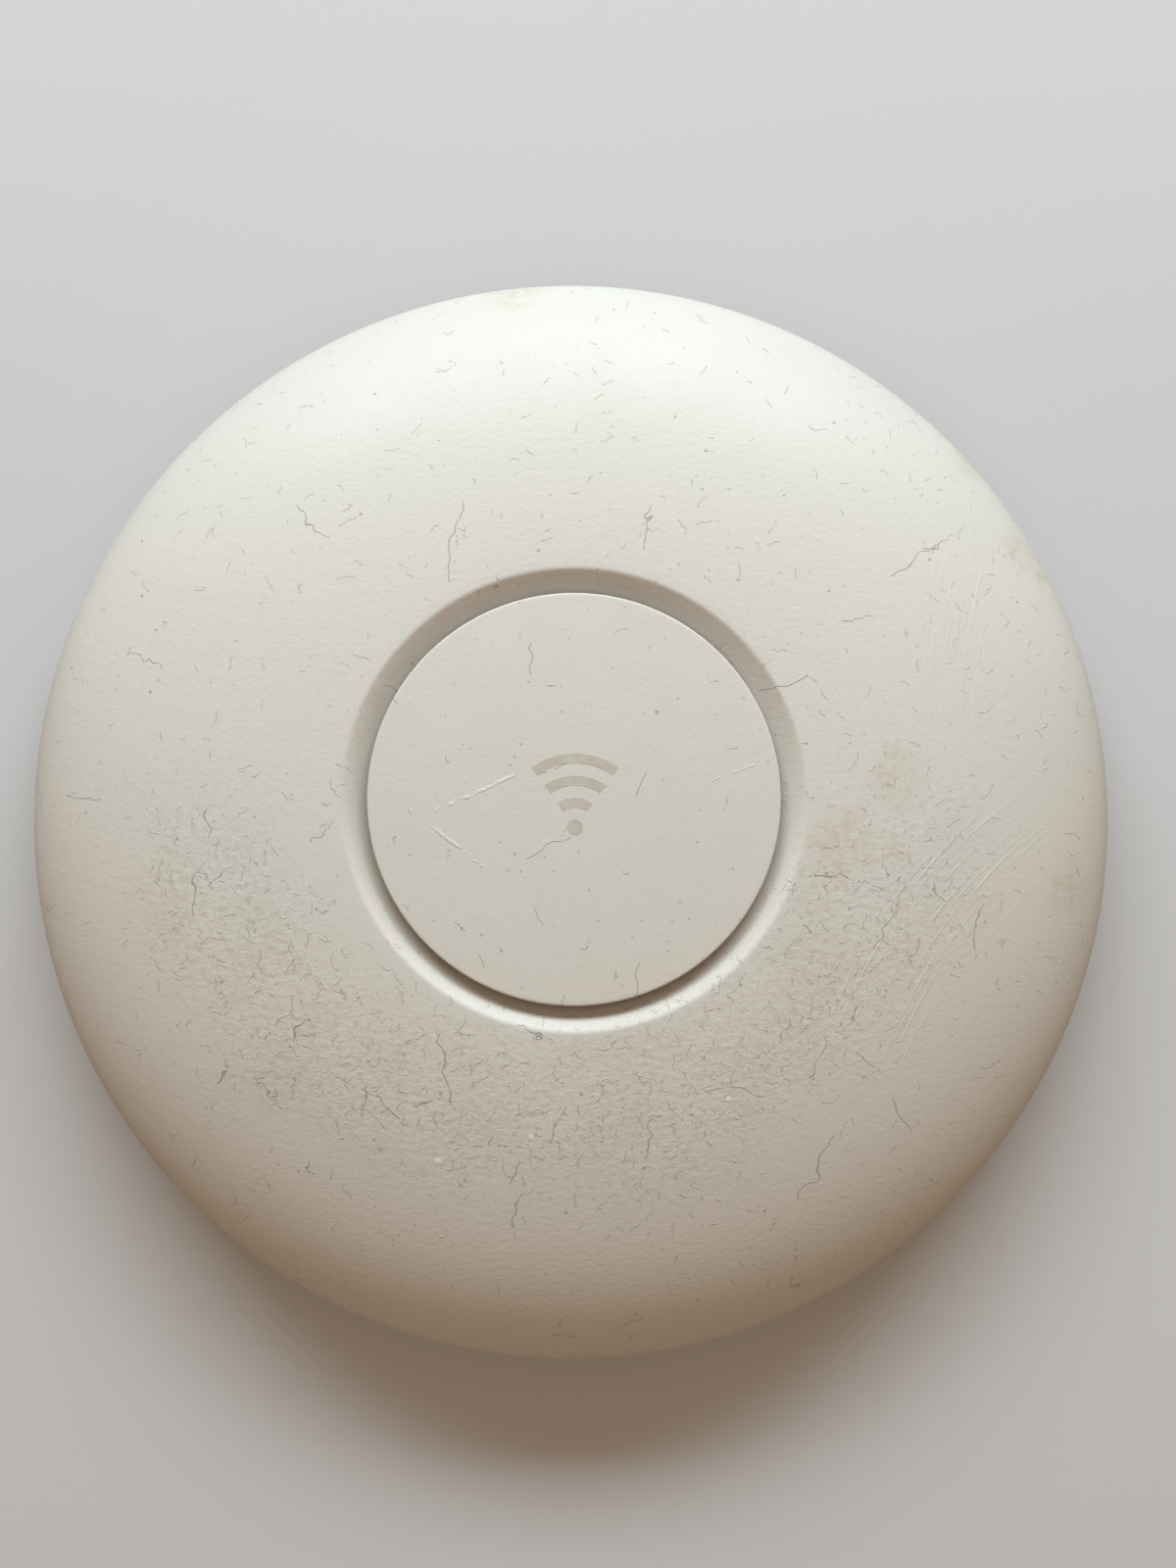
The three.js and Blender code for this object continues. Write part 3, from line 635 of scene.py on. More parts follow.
def cover_finish():
    made = Finish("soiled_white_plastic", WHITE, 0.42)
    arc = soil_arc(made)
    colour = made.mix(made.noise(45, 1.0), (*WHITE, 1), (*YELLOWED, 1))
    smear = made.math("MULTIPLY", arc, made.window(made.noise(11, 3.0), 0.3, 0.75, 0.03, 0.14))
    # The smear is dirt. The groove mask paints shade into the foot of the groove as well as dust.
    colour = made.mix(made.math("MAXIMUM", smear, groove_dust_and_shade(made)), colour, (*GRIME_AND_SHADE, 1))
    grain = made.window(made.noise(1.1, 4.0, rough=0.75), 0.5, 0.66)
    grain_share = made.math("MULTIPLY_ADD", arc, 0.26, 0.05)
    colour = made.mix(made.math("MULTIPLY", grain, grain_share), colour, (*GRIME_AND_SHADE, 1))

    stains = most(made, [
        spot(made, 80, 45, 6), spot(made, 84, 41, 3.5), spot(made, 53, -8.5, 3),
        spot(made, 44, -8, 8), spot(made, 53, 4, 7), spot(made, 85, -15, 6),
        spot(made, -12, 93, 7), spot(made, 72, 62, 5),
    ])
    mottle = made.window(made.noise(1.7, 4.0, rough=0.65), 0.38, 0.7, 0.06, 0.55)
    colour = made.mix(made.math("MULTIPLY", stains, mottle), colour, (*STAIN, 1))

    streaks = most(made, [wiped(made, 59, -20, 52, 34, 13), wiped(made, 64, 24, 82, 26, 8)])
    colour = made.mix(made.math("MULTIPLY", streaks, 0.42), colour, (*CHALK, 1))

    fuzz, fibres = lint_on(made, arc)
    colour = made.mix(made.math("MULTIPLY", fuzz, 0.25), colour, (*HAIR, 1))
    colour = made.mix(made.math("MULTIPLY", fibres, 0.46), colour, (*HAIR, 1))
    crumbs = most(made, [
        spot(made, -22, -59, 0.9, 0.5), spot(made, -7, -55, 0.7, 0.5),
        spot(made, 25, -49, 0.6, 0.5),
    ])
    colour = made.mix(crumbs, colour, (0.95, 0.94, 0.92, 1))
    made.set("Base Color", colour)

    dull = made.math("MULTIPLY_ADD", arc, 0.18, 0.42)
    made.set("Roughness", made.math("MULTIPLY_ADD", made.noise(14, 3.0), 0.14, dull))
    ripple = made.vector("MULTIPLY", made.warped(1.2, 3), (0.85, 1.15, 1))
    made.raise_by(made.noise(1.0, 3.0, ripple, rough=0.65), 0.06)
    made.raise_by(made.math("MULTIPLY", made.noise(1.4, 3.0, ripple, rough=0.7), arc), 0.12)
    made.raise_by(most(made, [fuzz, fibres, streaks, crumbs]), 0.05)
    return made.material


cover_white = cover_finish()
print("cover finish:", len(cover_white.node_tree.nodes), "nodes")

# %% [markdown]
# ## The other finishes
#
# Moulded plastics get a fine spark texture in the bump, a slow drift of colour and gloss, and a
# little dust. Metals get a brushed or cast grain that breaks up the reflection. The board gets
# copper traces under green lacquer. All of them start from the recipes below.

# %% Plastics
DUST = (0.46, 0.42, 0.36)


def moulded(name, color, roughness, grain=0.5, depth=0.012, dust=0.10):
    """Moulded plastic with a spark texture, and dust lying on it."""
    made = Finish(name, color, roughness)
    darker = tuple(0.9 * channel for channel in color)
    colour = made.mix(made.noise(28, 2.0), (*color, 1), (*darker, 1))
    film = made.window(made.noise(1.4, 4.0, rough=0.7), 0.52, 0.75, 0, dust)
    made.set("Base Color", made.mix(film, colour, (*DUST, 1)))
    gloss = made.window(made.noise(7, 3.0), 0.3, 0.7, roughness - 0.06, roughness + 0.08)
    made.set("Roughness", gloss)
    made.raise_by(made.noise(grain, 2.0), depth)
    return made


rear_white = moulded("spark_textured_white", (0.74, 0.735, 0.70), 0.55, 0.6, 0.03).material
bracket_grey = moulded("glass_filled_grey", (0.60, 0.60, 0.575), 0.6, 0.7, 0.04).material
socket_black = moulded("socket_black", (0.022, 0.022, 0.024), 0.38, 0.4, 0.01, 0.05).material
chip_black = moulded("component_black", (0.028, 0.028, 0.030), 0.5, 0.25, 0.01, 0.04).material
plunger_grey = moulded("plunger_grey", (0.045, 0.045, 0.048), 0.42, 0.4, 0.008, 0.04).material
print("five moulded plastics")


# %% The cap, its print, and the milky ring
def scratch(finish, start, end, width, whole=0.46):
    """A broken, slightly wandering line between two points."""
    run = Vector(end) - Vector(start)
    place = finish.warped(1.1, 6)
    local = finish.vector("SUBTRACT", place, (*start, 0))
    sockets = {"Vector": local, "Angle": -math.atan2(run.y, run.x)}
    local = finish.node("VectorRotate", {"rotation_type": "Z_AXIS"}, sockets).outputs[0]
    along, across, _ = finish.node("SeparateXYZ", None, {0: local}).outputs
    thin = finish.window(finish.math("ABSOLUTE", across), width, 0.3 * width)
    after = finish.math("GREATER_THAN", along, 0.0)
    before = finish.math("LESS_THAN", along, run.length)
    broken = finish.window(finish.noise(1.7, 2.0), whole, whole + 0.08)
    between = finish.math("MULTIPLY", after, before)
    return finish.math("MULTIPLY", finish.math("MULTIPLY", thin, broken), between)


def cap_finish():
    made = Finish("handled_white_plastic", WHITE, 0.40)
    colour = made.mix(made.noise(30, 2.0), (*WHITE, 1), (*YELLOWED, 1))
    film = made.window(made.noise(0.9, 4.0, rough=0.75), 0.5, 0.75, 0, 0.10)
    colour = made.mix(film, colour, (*GRIME_AND_SHADE, 1))
    lint = most(made, [
        hairs(made, 6.0, 3.0, 0.10, 0.22, bow=0.4, shift=19),
        hairs(made, 17.0, 12.0, 0.11, 0.30, bow=0.12, wander=2.4, shift=71),
        specks(made, 2.6, 0.15, 0.16, shift=5),
        specks(made, 9.0, 0.3, 0.12, shift=43),
    ])
    colour = made.mix(made.math("MULTIPLY", lint, 0.38), colour, (*HAIR, 1))
    scuffs = most(made, [
        scratch(made, (-27, -2), (-15, -11.5), 0.36),
        scratch(made, (-22.5, -2.6), (-9.5, 3.6), 0.40),
        scratch(made, (-6, 3.5), (-1, 5.5), 0.25),
        scratch(made, (22, 2.2), (30, 5.6), 0.14),
        scratch(made, (-3, -8), (-1.5, -5), 0.2),
    ])
    colour = made.mix(made.math("MULTIPLY", scuffs, 0.55), colour, (0.88, 0.87, 0.83, 1))
    made.set("Base Color", colour)
    made.set("Roughness", made.window(made.noise(9, 3.0), 0.3, 0.7, 0.36, 0.52))
    made.raise_by(made.noise(0.9, 3.0, rough=0.65), 0.05)
    made.raise_by(made.math("MAXIMUM", scuffs, lint), 0.06)
    return made.material


INK = (0.60, 0.585, 0.52)


def ink_finish():
    made = Finish("grey_ink", INK, 0.42)
    worn = made.window(made.noise(2.2, 4.0, rough=0.7), 0.4, 0.75, 0, 0.35)
    made.set("Base Color", made.mix(worn, (*INK, 1), (*WHITE, 1)))
    made.raise_by(made.noise(0.7, 3.0, rough=0.65), 0.02)
    return made.material


def milky_finish():
    made = Finish("milky_light_guide", (0.70, 0.70, 0.67), 0.32)
    made.set("Transmission Weight", 0.25)
    made.set("IOR", 1.49)
    cloud = made.noise(5, 2.0)
    made.set("Base Color", made.mix(cloud, (0.74, 0.74, 0.71, 1), (0.62, 0.62, 0.59, 1)))
    made.set("Roughness", made.window(cloud, 0.3, 0.7, 0.28, 0.42))
    made.raise_by(made.noise(0.5, 1.0), 0.006)
    return made.material


cap_white, grey_ink, milky = cap_finish(), ink_finish(), milky_finish()


# %% Metals
def metal(name, color, roughness, grain, depth, stretch=(1, 1, 1)):
    """Bare metal. A stretched grain reads as rolling or brushing, a round one as casting."""
    made = Finish(name, color, roughness, metallic=1.0)
    place = made.vector("MULTIPLY", made.place, stretch)
    fine = made.noise(grain, 3.0, place, rough=0.6)
    stained = tuple(0.72 * channel for channel in color)
    tarnish = made.window(made.noise(6, 4.0, rough=0.65), 0.45, 0.7, 0, 0.5)
    made.set("Base Color", made.mix(tarnish, (*color, 1), (*stained, 1)))
    made.set("Roughness", made.window(fine, 0.3, 0.7, roughness - 0.05, roughness + 0.12))
    made.raise_by(fine, depth)
    return made.material


tin = metal("bright_tin", (0.66, 0.65, 0.62), 0.28, 0.5, 0.006, (0.15, 1, 1))
zinc = metal("zinc_plate", (0.55, 0.56, 0.58), 0.33, 0.4, 0.01)
gold = metal("gold_flash", (0.80, 0.58, 0.22), 0.25, 0.3, 0.003)
nickel_brass = metal("nickel_brass", (0.66, 0.58, 0.38), 0.32, 0.4, 0.005, (1, 0.2, 1))
cast_aluminium = metal("cast_aluminium", (0.62, 0.63, 0.64), 0.48, 0.5, 0.035)
drawn_aluminium = metal("drawn_aluminium", (0.68, 0.68, 0.69), 0.30, 0.35, 0.004, (1, 1, 0.1))
print("six metals")


# %% Board lacquer, soft pad, ferrite, lamp and label
def board_finish():
    """Straight copper runs under lacquer, from a Voronoi of square cells, and small tinned pads."""
    made = Finish("green_board", (0.02, 0.10, 0.05), 0.35)
    skew = {"Vector": made.place, "Angle": math.radians(45)}
    turned = made.node("VectorRotate", {"rotation_type": "Z_AXIS"}, skew).outputs[0]
    runs = []
    for place, size in ((made.place, 7.0), (turned, 9.0)):
        sockets = {"Vector": place, "Scale": 1 / size}
        settings = {"distance": "CHEBYCHEV", "voronoi_dimensions": "2D"}
        cell = made.node("TexVoronoi", settings, sockets).outputs["Distance"]
        ripple = made.math("PINGPONG", made.math("MULTIPLY", cell, size / 0.55), 1.0)
        runs.append(made.window(ripple, 0.55, 0.7))
    straight = made.math("MULTIPLY", runs[0], made.window(made.noise(16, 1.0), 0.45, 0.5))
    slanted = made.math("MULTIPLY", runs[1], made.window(made.noise(11, 1.0), 0.55, 0.6))
    copper = made.math("MAXIMUM", straight, slanted)
    colour = made.mix(copper, (0.015, 0.085, 0.04, 1), (0.03, 0.17, 0.075, 1))
    pads = specks(made, 4.2, 0.5, 0.5, shift=7)
    made.set("Base Color", made.mix(pads, colour, (0.62, 0.60, 0.55, 1)))
    made.set("Metallic", pads)
    made.set("Roughness", made.window(made.noise(9, 2.0), 0.3, 0.7, 0.28, 0.42))
    made.raise_by(copper, 0.035)
    return made.material


def label_finish():
    made = Finish("blank_label", (0.80, 0.80, 0.78), 0.5)
    fibre = made.noise(0.8, 4.0, rough=0.7)
    made.set("Base Color", made.mix(fibre, (0.82, 0.82, 0.80, 1), (0.70, 0.70, 0.68, 1)))
    made.set("Roughness", made.window(fibre, 0.3, 0.7, 0.42, 0.6))
    made.raise_by(fibre, 0.008)
    return made.material


board_green, paper = board_finish(), label_finish()
soft_pad = moulded("thermal_pad", (0.27, 0.35, 0.42), 0.8, 0.8, 0.05, 0.2).material
ferrite = moulded("ferrite", (0.055, 0.055, 0.060), 0.65, 0.3, 0.03, 0.08).material
lamp_clear = moulded("lamp_package", (0.80, 0.80, 0.66), 0.25, 0.6, 0.004, 0.03).material


def floor_finish():
    """A plain pale floor that melts into the backdrop some way off."""
    made = Finish("pale_floor", (0.70, 0.72, 0.75), 0.85)
    cloud = made.noise(240, 3.0)
    colour = made.mix(cloud, (0.71, 0.73, 0.76, 1), (0.68, 0.70, 0.73, 1))
    far = made.window(made.vector("LENGTH", made.place), 240, 760)
    made.set("Base Color", made.mix(far, colour, (0, 0, 0, 1)))
    made.set("Emission Color", (*BACKDROP, 1))
    made.set("Emission Strength", far)
    made.raise_by(made.noise(2.5, 2.0), 0.02)
    return made.material


floor.data.materials.append(floor_finish())

# %% [markdown]
# ## Putting a finished piece in its place
#
# A finished piece rides on one body of the frame, so that it moves with that body's joint. It has
# one material, and it stands in for the CAD nodes it was made after.

# %% Body, material and CAD nodes of a piece
def place_on(piece, body, material, slot, *nodes):
    piece.data.materials.clear()
    piece.data.materials.append(material)
    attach(piece, body)
    if nodes:
        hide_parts(*nodes)
    print(f"{piece.name}: {len(piece.data.polygons)} faces on {body}")


# %% [markdown]
# ## The cover
#
# The cover is one moulding: a dome that falls away towards the rim, and in its middle a sloping
# wall that leads down to a narrow crevice round the cap. Its outside and inside are two curves a
# wall's thickness apart. A spun section gives them exactly, with a small round where the dome turns
# down into the groove. Four hollow posts under the dome take the screws. Each starts as a drum, and
# its top is bisected along the slope of the dome so that it ends inside the wall.

# %% Section of the cover
DOME_OUTSIDE = bezier((GROOVE_RADIUS, GROOVE_Z), (70, 31.5), (95, 24), (RIM_RADIUS, RIM_Z), 48)
DOME_INSIDE = bezier(
    (GROOVE_RADIUS + 2.2, GROOVE_Z - 2.15), (69.3, 29.3), (92.9, 22.3),
    (RIM_RADIUS - WALL, RIM_Z), 30,
)
LIP_Z = CAP_FOOT
EDGE_ROUND = 0.45


def cover_section():
    rim = [(RIM_RADIUS - 0.5, RIM_Z), (RIM_RADIUS - 0.12, RIM_Z + 0.12)]
    outside = [tuple(point) for point in reversed(DOME_OUTSIDE[1:-1])]
    groove = rounded([
        outside[-1], (GROOVE_RADIUS, GROOVE_Z, EDGE_ROUND), (CREVICE_RADIUS, CREVICE_Z, 0.3),
        (CREVICE_RADIUS, LIP_Z, 0.15), (CREVICE_RADIUS + WALL, LIP_Z, 0.15),
        (CREVICE_RADIUS + WALL, CREVICE_Z - 1), tuple(DOME_INSIDE[0]),
    ])
    return rim + [(RIM_RADIUS, RIM_Z + 0.5)] + outside[:-1] + groove + DOME_INSIDE[1:]


COVER_STEPS = 200                         # the outline shows most, so it gets the finest steps
cover = spun("cover", cover_section(), COVER_STEPS)
print("cover shell:", len(cover.data.polygons), "faces")

# %% Screw posts under the dome
CASE_SCREW_RADIUS = 84.0
CASE_SCREW_ANGLES = (45, 135, 225, 315)
CASE_POST_Z = 12.5
CASE_POST_RADIUS, THREAD_BORE = 3.2, 1.4


def dome_at(radius):
    """Height and slope of the middle of the wall at a radius."""
    before, after = [
        next(pair for pair in zip(curve, curve[1:]) if pair[1].x >= radius)
        for curve in (DOME_OUTSIDE, DOME_INSIDE)
    ]
    height = [a.lerp(b, (radius - a.x) / (b.x - a.x)).y for a, b in (before, after)]
    slope = (before[1] - before[0]).normalized()
    return sum(height) / 2, slope


def screw_post():
    height, slope = dome_at(CASE_SCREW_RADIUS)
    post = drum("post", CASE_POST_RADIUS, CASE_POST_Z, 34, at=(CASE_SCREW_RADIUS, 0))
    bpy.ops.object.mode_set(mode="EDIT")
    bpy.ops.mesh.select_all(action="SELECT")
    bpy.ops.mesh.bisect(
        plane_co=(CASE_SCREW_RADIUS * MM, 0, height * MM), plane_no=(-slope.y, 0, slope.x),
        use_fill=True, clear_outer=True,
    )
    bpy.ops.object.mode_set(mode="OBJECT")
    bore = drum(
        "bore", THREAD_BORE, CASE_POST_Z - 1, CASE_POST_Z + 7.5, at=(CASE_SCREW_RADIUS, 0)
    )
    return carved(post, bore)


post = screw_post()
posts = [copied(post, f"post_{angle}", turn=angle) for angle in CASE_SCREW_ANGLES]
bpy.data.objects.remove(post)
smooth(welded(cover, *posts))
place_on(cover, "access_point", cover_white, "cover_plastic", "dome_cover")

# %% [markdown]
# ## The cap
#
# The cap is a slightly crowned disc with a skirt, pressed into the middle of the cover. It carries
# a small printed symbol, which here is a plain fan of three arcs over a dot, the usual sign for
# wireless. The print is a few hundredths of a millimetre thick, so that it has a real, crisp edge
# and isn't a smudge in the paint.

# %% Cap
INNER_STEPS = 144                         # facets round the cap, the ring and the print
SKIRT_WALL = 1.8


def crown_z(r, lift=0):
    """Height of the cap's crowned top at a radius, or of a surface that much above it."""
    return CAP_TOP + lift - (CAP_TOP - CAP_EDGE_Z) * (r / CAP_RADIUS) ** 2


def cap_section():
    skirt_inside = SKIRT_RADIUS - SKIRT_WALL
    return [(r, crown_z(r)) for r in range(0, 33, 2)] + rounded([
        (33.0, crown_z(33.0)), (CAP_RADIUS, CAP_EDGE_Z, 0.35), (CAP_RADIUS, CAP_RIM_Z, 0.2),
        (SKIRT_RADIUS, CAP_RIM_Z), (SKIRT_RADIUS, CAP_FOOT, 0.15), (skirt_inside, CAP_FOOT, 0.15),
        (skirt_inside, CAP_EDGE_Z - WALL, 0.4), (0, CAP_TOP - WALL),
    ], 5)


cap = smooth(spun("cap", cap_section(), INNER_STEPS))
place_on(cap, "access_point", cap_white, "cap_plastic", "center_cap")

# %% Printed symbol
MARK_FOOT_Y = -5.0
MARK_ARCS = (4.0, 7.6, 11.2)
MARK_STROKE = 0.8
MARK_SPREAD = 36                          # degrees either side of straight up
MARK_DOT = 1.3
INK_THICKNESS = 0.03


def ink_section():
    """A thin lens that follows the crown, from just inside the cap to the top of the print."""
    line = []
    for lift, radii in ((INK_THICKNESS, range(0, 13)), (-0.1, range(12, -1, -1))):
        line += [(r, crown_z(r, lift)) for r in radii]
    return line


def wireless_symbol():
    low, high = CAP_TOP - 0.4, CAP_TOP + 0.5
    arcs = [
        arc_bar("stroke", r - MARK_STROKE, r + MARK_STROKE, 90 - MARK_SPREAD, 90 + MARK_SPREAD,
                low, high, 24)
        for r in MARK_ARCS
    ]
    symbol = join("printed_symbol", arcs + [drum("dot", MARK_DOT, low, high, sides=40)])
    symbol.location = (0.1 * MM, MARK_FOOT_Y * MM, 0)
    settle(symbol)
    skin = spun("skin", ink_section(), INNER_STEPS)
    apply_modifier(symbol, "BOOLEAN", operation="INTERSECT", object=skin, solver="EXACT")
    bpy.data.objects.remove(skin)
    return tidied(symbol, flat=ONE_PLANE)


symbol = wireless_symbol()
place_on(symbol, "access_point", grey_ink, "cap_plastic")

# %% [markdown]
# ## The light ring
#
# A ring of milky plastic stands in the crevice between cap and cover and glows when the lamps on
# the board are lit. Only its top edge shows. Below it a flange holds it under the cover's lip, and
# a short rod over each lamp guides the light up.

# %% Light ring
LED_RADIUS = 36.0
LED_ANGLES = (30, 150, 205, 335)


def ring_section():
    top, foot = LIP_Z - GAP, LIP_Z - GAP - 1.9
    outer, inner, crest = CREVICE_RADIUS - GAP, SKIRT_RADIUS + GAP, CREVICE_Z - 0.6
    return rounded([
        (31, foot, 0.2), (41, foot, 0.2), (41, top, 0.2), (outer, top, 0.2),
        (outer, crest, 0.3), (inner, crest, 0.3), (inner, top, 0.2), (31, top, 0.2),
    ], 3)


ring = spun("glow_ring", ring_section(), INNER_STEPS)
guide_foot = mm_box("light_ring")[0].z
guides = [
    drum("guide", 1.8, guide_foot, LIP_Z - 1.7, polar(LED_RADIUS, angle)) for angle in LED_ANGLES
]
smooth(welded(ring, *guides))
place_on(ring, "access_point", milky, "light_guide", "light_ring")

# %% [markdown]
# ## The rear housing
#
# The back is a turned shell too: a flat pocket that swallows the bracket, a raised boss round it,
# and a flange out to the rim. Everything that isn't round is added as a block and welded on, or
# cut away with a boolean: the port bay, the cable channel, the posts and the bayonet tabs. The
# booleans come before the edges are softened, so that the cut edges get their small round as well.

# %% Sizes of the back
BACK_Z, RECESS_RADIUS, RECESS_Z = 0.5, 58.0, 6.0
BOSS_RADIUS, FLANGE_RADIUS, FLANGE_Z = 74.0, 96.0, 9.0
BAY_HALF_WIDTH, BAY_RADIUS, BAY_FRONT_Y, BAY_TOP_Z = 29.0, 55.0, -24.3, 21.5
CHANNEL_HALF_WIDTH, CHANNEL_TOP_Z = 7.0, 8.0
BAYONET_ANGLES = (90, 210, 330)
BOARD_SCREW_RADIUS, BOARD_SCREW_ANGLES = 66.0, (25, 155, 220, 320)
BOARD_UNDER, BOARD_TOP = 20.7, 22.9
PORT_Y = BAY_FRONT_Y + GAP
CASE_SCREW_Z = 9.3
PORTS = {"main": (-19.2, 16.0, 12.1), "second": (-1.6, 16.0, 12.1), "usb": (16.2, 13.6, 6.1)}
RESET_X, RESET_Z = 26.2, 17.0


def bay_block(name, half_width, radius, y1, z0, z1):
    """A box whose far side follows the round recess."""
    block = bar(name, (-half_width, -radius - 1, z0), (half_width, y1, z1))
    limit = drum("limit", radius, z0 - 1, z1 + 1, sides=TURN_STEPS)
    apply_modifier(block, "BOOLEAN", operation="INTERSECT", object=limit, solver="EXACT")
    bpy.data.objects.remove(limit)
    return block


# %% Shell, walls and posts
def housing_section():
    return rounded([
        (0, RECESS_Z), (RECESS_RADIUS, RECESS_Z, 0.35), (RECESS_RADIUS, BACK_Z, 0.5),
        (BOSS_RADIUS, BACK_Z, 0.8), (BOSS_RADIUS + 0.8, FLANGE_Z, 0.4),
        (FLANGE_RADIUS, FLANGE_Z, 0.3), (FLANGE_RADIUS, RIM_Z),
        (FLANGE_RADIUS - 1.8, RIM_Z + 3.5, 0.3),
        (FLANGE_RADIUS - 3.6, RIM_Z + 3.5, 0.3), (FLANGE_RADIUS - 3.6, FLANGE_Z + WALL),
        (BOSS_RADIUS - 1.2, FLANGE_Z + WALL), (BOSS_RADIUS - 2, BACK_Z + WALL),
        (RECESS_RADIUS + WALL, BACK_Z + WALL), (RECESS_RADIUS + WALL, RECESS_Z + WALL),
        (0, RECESS_Z + WALL),
    ], 3)


housing = spun("rear_shell", housing_section())
walls = [
    bay_block("bay_walls", BAY_HALF_WIDTH + WALL, BAY_RADIUS + WALL, BAY_FRONT_Y + WALL,
              RECESS_Z + 0.5, BAY_TOP_Z + WALL),
    spoke("channel_walls", 270, CHANNEL_HALF_WIDTH + WALL, 56.5, BOSS_RADIUS - 1, 1,
          CHANNEL_TOP_Z + WALL),
    spoke("tool_walls", 50, 3.6, RECESS_RADIUS + 1, BOSS_RADIUS - 1, 1, 7.8),
]
tabs = [
    arc_bar("tab", 54.0, RECESS_RADIUS + 1, angle - 7.5, angle + 7.5, 1.5, 3.5)
    for angle in BAYONET_ANGLES
]
posts = [
    drum("post", 3.5, 2, BOARD_UNDER, polar(BOARD_SCREW_RADIUS, a)) for a in BOARD_SCREW_ANGLES
]
seats = [
    drum("seat", 4.2, FLANGE_Z + 0.2, CASE_POST_Z - GAP, polar(CASE_SCREW_RADIUS, a))
    for a in CASE_SCREW_ANGLES
]
welded(housing, *walls, *tabs, *posts, *seats)

# %% Openings
def port_window(name):
    x, width, height = PORTS[name]
    return bar(
        "window", (x - width / 2 - GAP, BAY_FRONT_Y - 1, BOARD_UNDER - height - GAP),
        (x + width / 2 + GAP, BAY_FRONT_Y + WALL + 1, BOARD_UNDER + GAP),
    )


def lying_drum(name, radius, y0, y1, x, z, sides=32):
    """A cylinder along Y."""
    fresh()
    bpy.ops.mesh.primitive_cylinder_add(
        radius=radius * MM, depth=(y1 - y0) * MM, vertices=sides,
        location=(x * MM, (y0 + y1) / 2 * MM, z * MM), rotation=(math.pi / 2, 0, 0),
    )
    return settle(named(name))


openings = [
    bay_block("bay", BAY_HALF_WIDTH, BAY_RADIUS, BAY_FRONT_Y, RECESS_Z - 1, BAY_TOP_Z),
    spoke("channel", 270, CHANNEL_HALF_WIDTH, BAY_RADIUS - 1, BOSS_RADIUS + 3, 0, CHANNEL_TOP_Z),
    spoke("tool_hole", 50, 1.6, RECESS_RADIUS - 2, BOSS_RADIUS + 3, 2.5, 5.7),
    lying_drum("reset_hole", 1.9, BAY_FRONT_Y - 1.5, BAY_FRONT_Y + 3.5, RESET_X, RESET_Z),
    *[port_window(name) for name in PORTS],
    *[
        drum("pilot", THREAD_BORE, 11, BOARD_UNDER + 1, polar(BOARD_SCREW_RADIUS, a))
        for a in BOARD_SCREW_ANGLES
    ],
]
for angle in CASE_SCREW_ANGLES:
    at = polar(CASE_SCREW_RADIUS, angle)
    openings.append(drum("bore", 2.5, FLANGE_Z - 1, 11, at))
    openings.append(drum("shank", THREAD_BORE, FLANGE_Z, CASE_POST_Z + 0.5, at))
carved(housing, *openings)
softened(housing, 0.18)
place_on(housing, "access_point", rear_white, "rear_plastic", "rear_housing")

# %% Snap-in door of the cable channel
def cable_door():
    half, top = CHANNEL_HALF_WIDTH - GAP, CHANNEL_TOP_Z - GAP
    door = bar(
        "door_panel", (-half, -BOSS_RADIUS - 2, BACK_Z + GAP), (half, -BOSS_RADIUS + 2.5, top)
    )
    limit = drum("limit", BOSS_RADIUS, 0, CHANNEL_TOP_Z, sides=TURN_STEPS)
    apply_modifier(door, "BOOLEAN", operation="INTERSECT", object=limit, solver="EXACT")
    bpy.data.objects.remove(limit)
    snaps = [
        bar("snap", (x - 0.7, -BOSS_RADIUS + 2, BACK_Z + 1.5),
            (x + 0.7, -BOSS_RADIUS + 6, top - 1.5))
        for x in (-half + 0.7, half - 0.7)
    ]
    grips = [
        bar("grip", (-4, -BOSS_RADIUS - 1, z), (4, -BOSS_RADIUS + 0.4, z + 0.5))
        for z in (2.6, 4.0, 5.4)
    ]
    return softened(carved(welded(door, *snaps), *grips), 0.15)


place_on(cable_door(), "door", rear_white, "rear_plastic", "cable_door")

# %% [markdown]
# ## The mounting bracket and its lever
#
# The bracket is a flat plate with a raised edge. Three lugs on that edge slide behind the tabs of
# the housing when the device is twisted on. A springy arm in a slot of the plate is the lock: a pin
# pushed in through the boss bends it inwards. The lever is its own piece, because it moves.

# %% Bracket
PLATE_RADIUS, HOOP_RADIUS, LUG_RADIUS = 53.5, 50.0, 57.6
LEVER_RADIUS = 46.0


def bracket_section():
    return rounded([
        (13, 0, 0.3), (PLATE_RADIUS, 0, 0.3), (PLATE_RADIUS, 5.7, 0.3), (HOOP_RADIUS, 5.7, 0.3),
        (HOOP_RADIUS, 2.5, 0.3), (17, 2.5, 0.2), (17, 4.4, 0.3), (15, 4.4, 0.3), (15, 2.5, 0.2),
        (13, 2.5, 0.3),
    ], 3)


def screw_slot(angle):
    """A long hole that a ceiling screw can slide along."""
    ends = [drum("slot_end", 2.25, -1, 4, polar(r, angle)) for r in (26, 34)]
    return welded(spoke("slot", angle, 2.25, 26, 34, -1, 4), *ends)


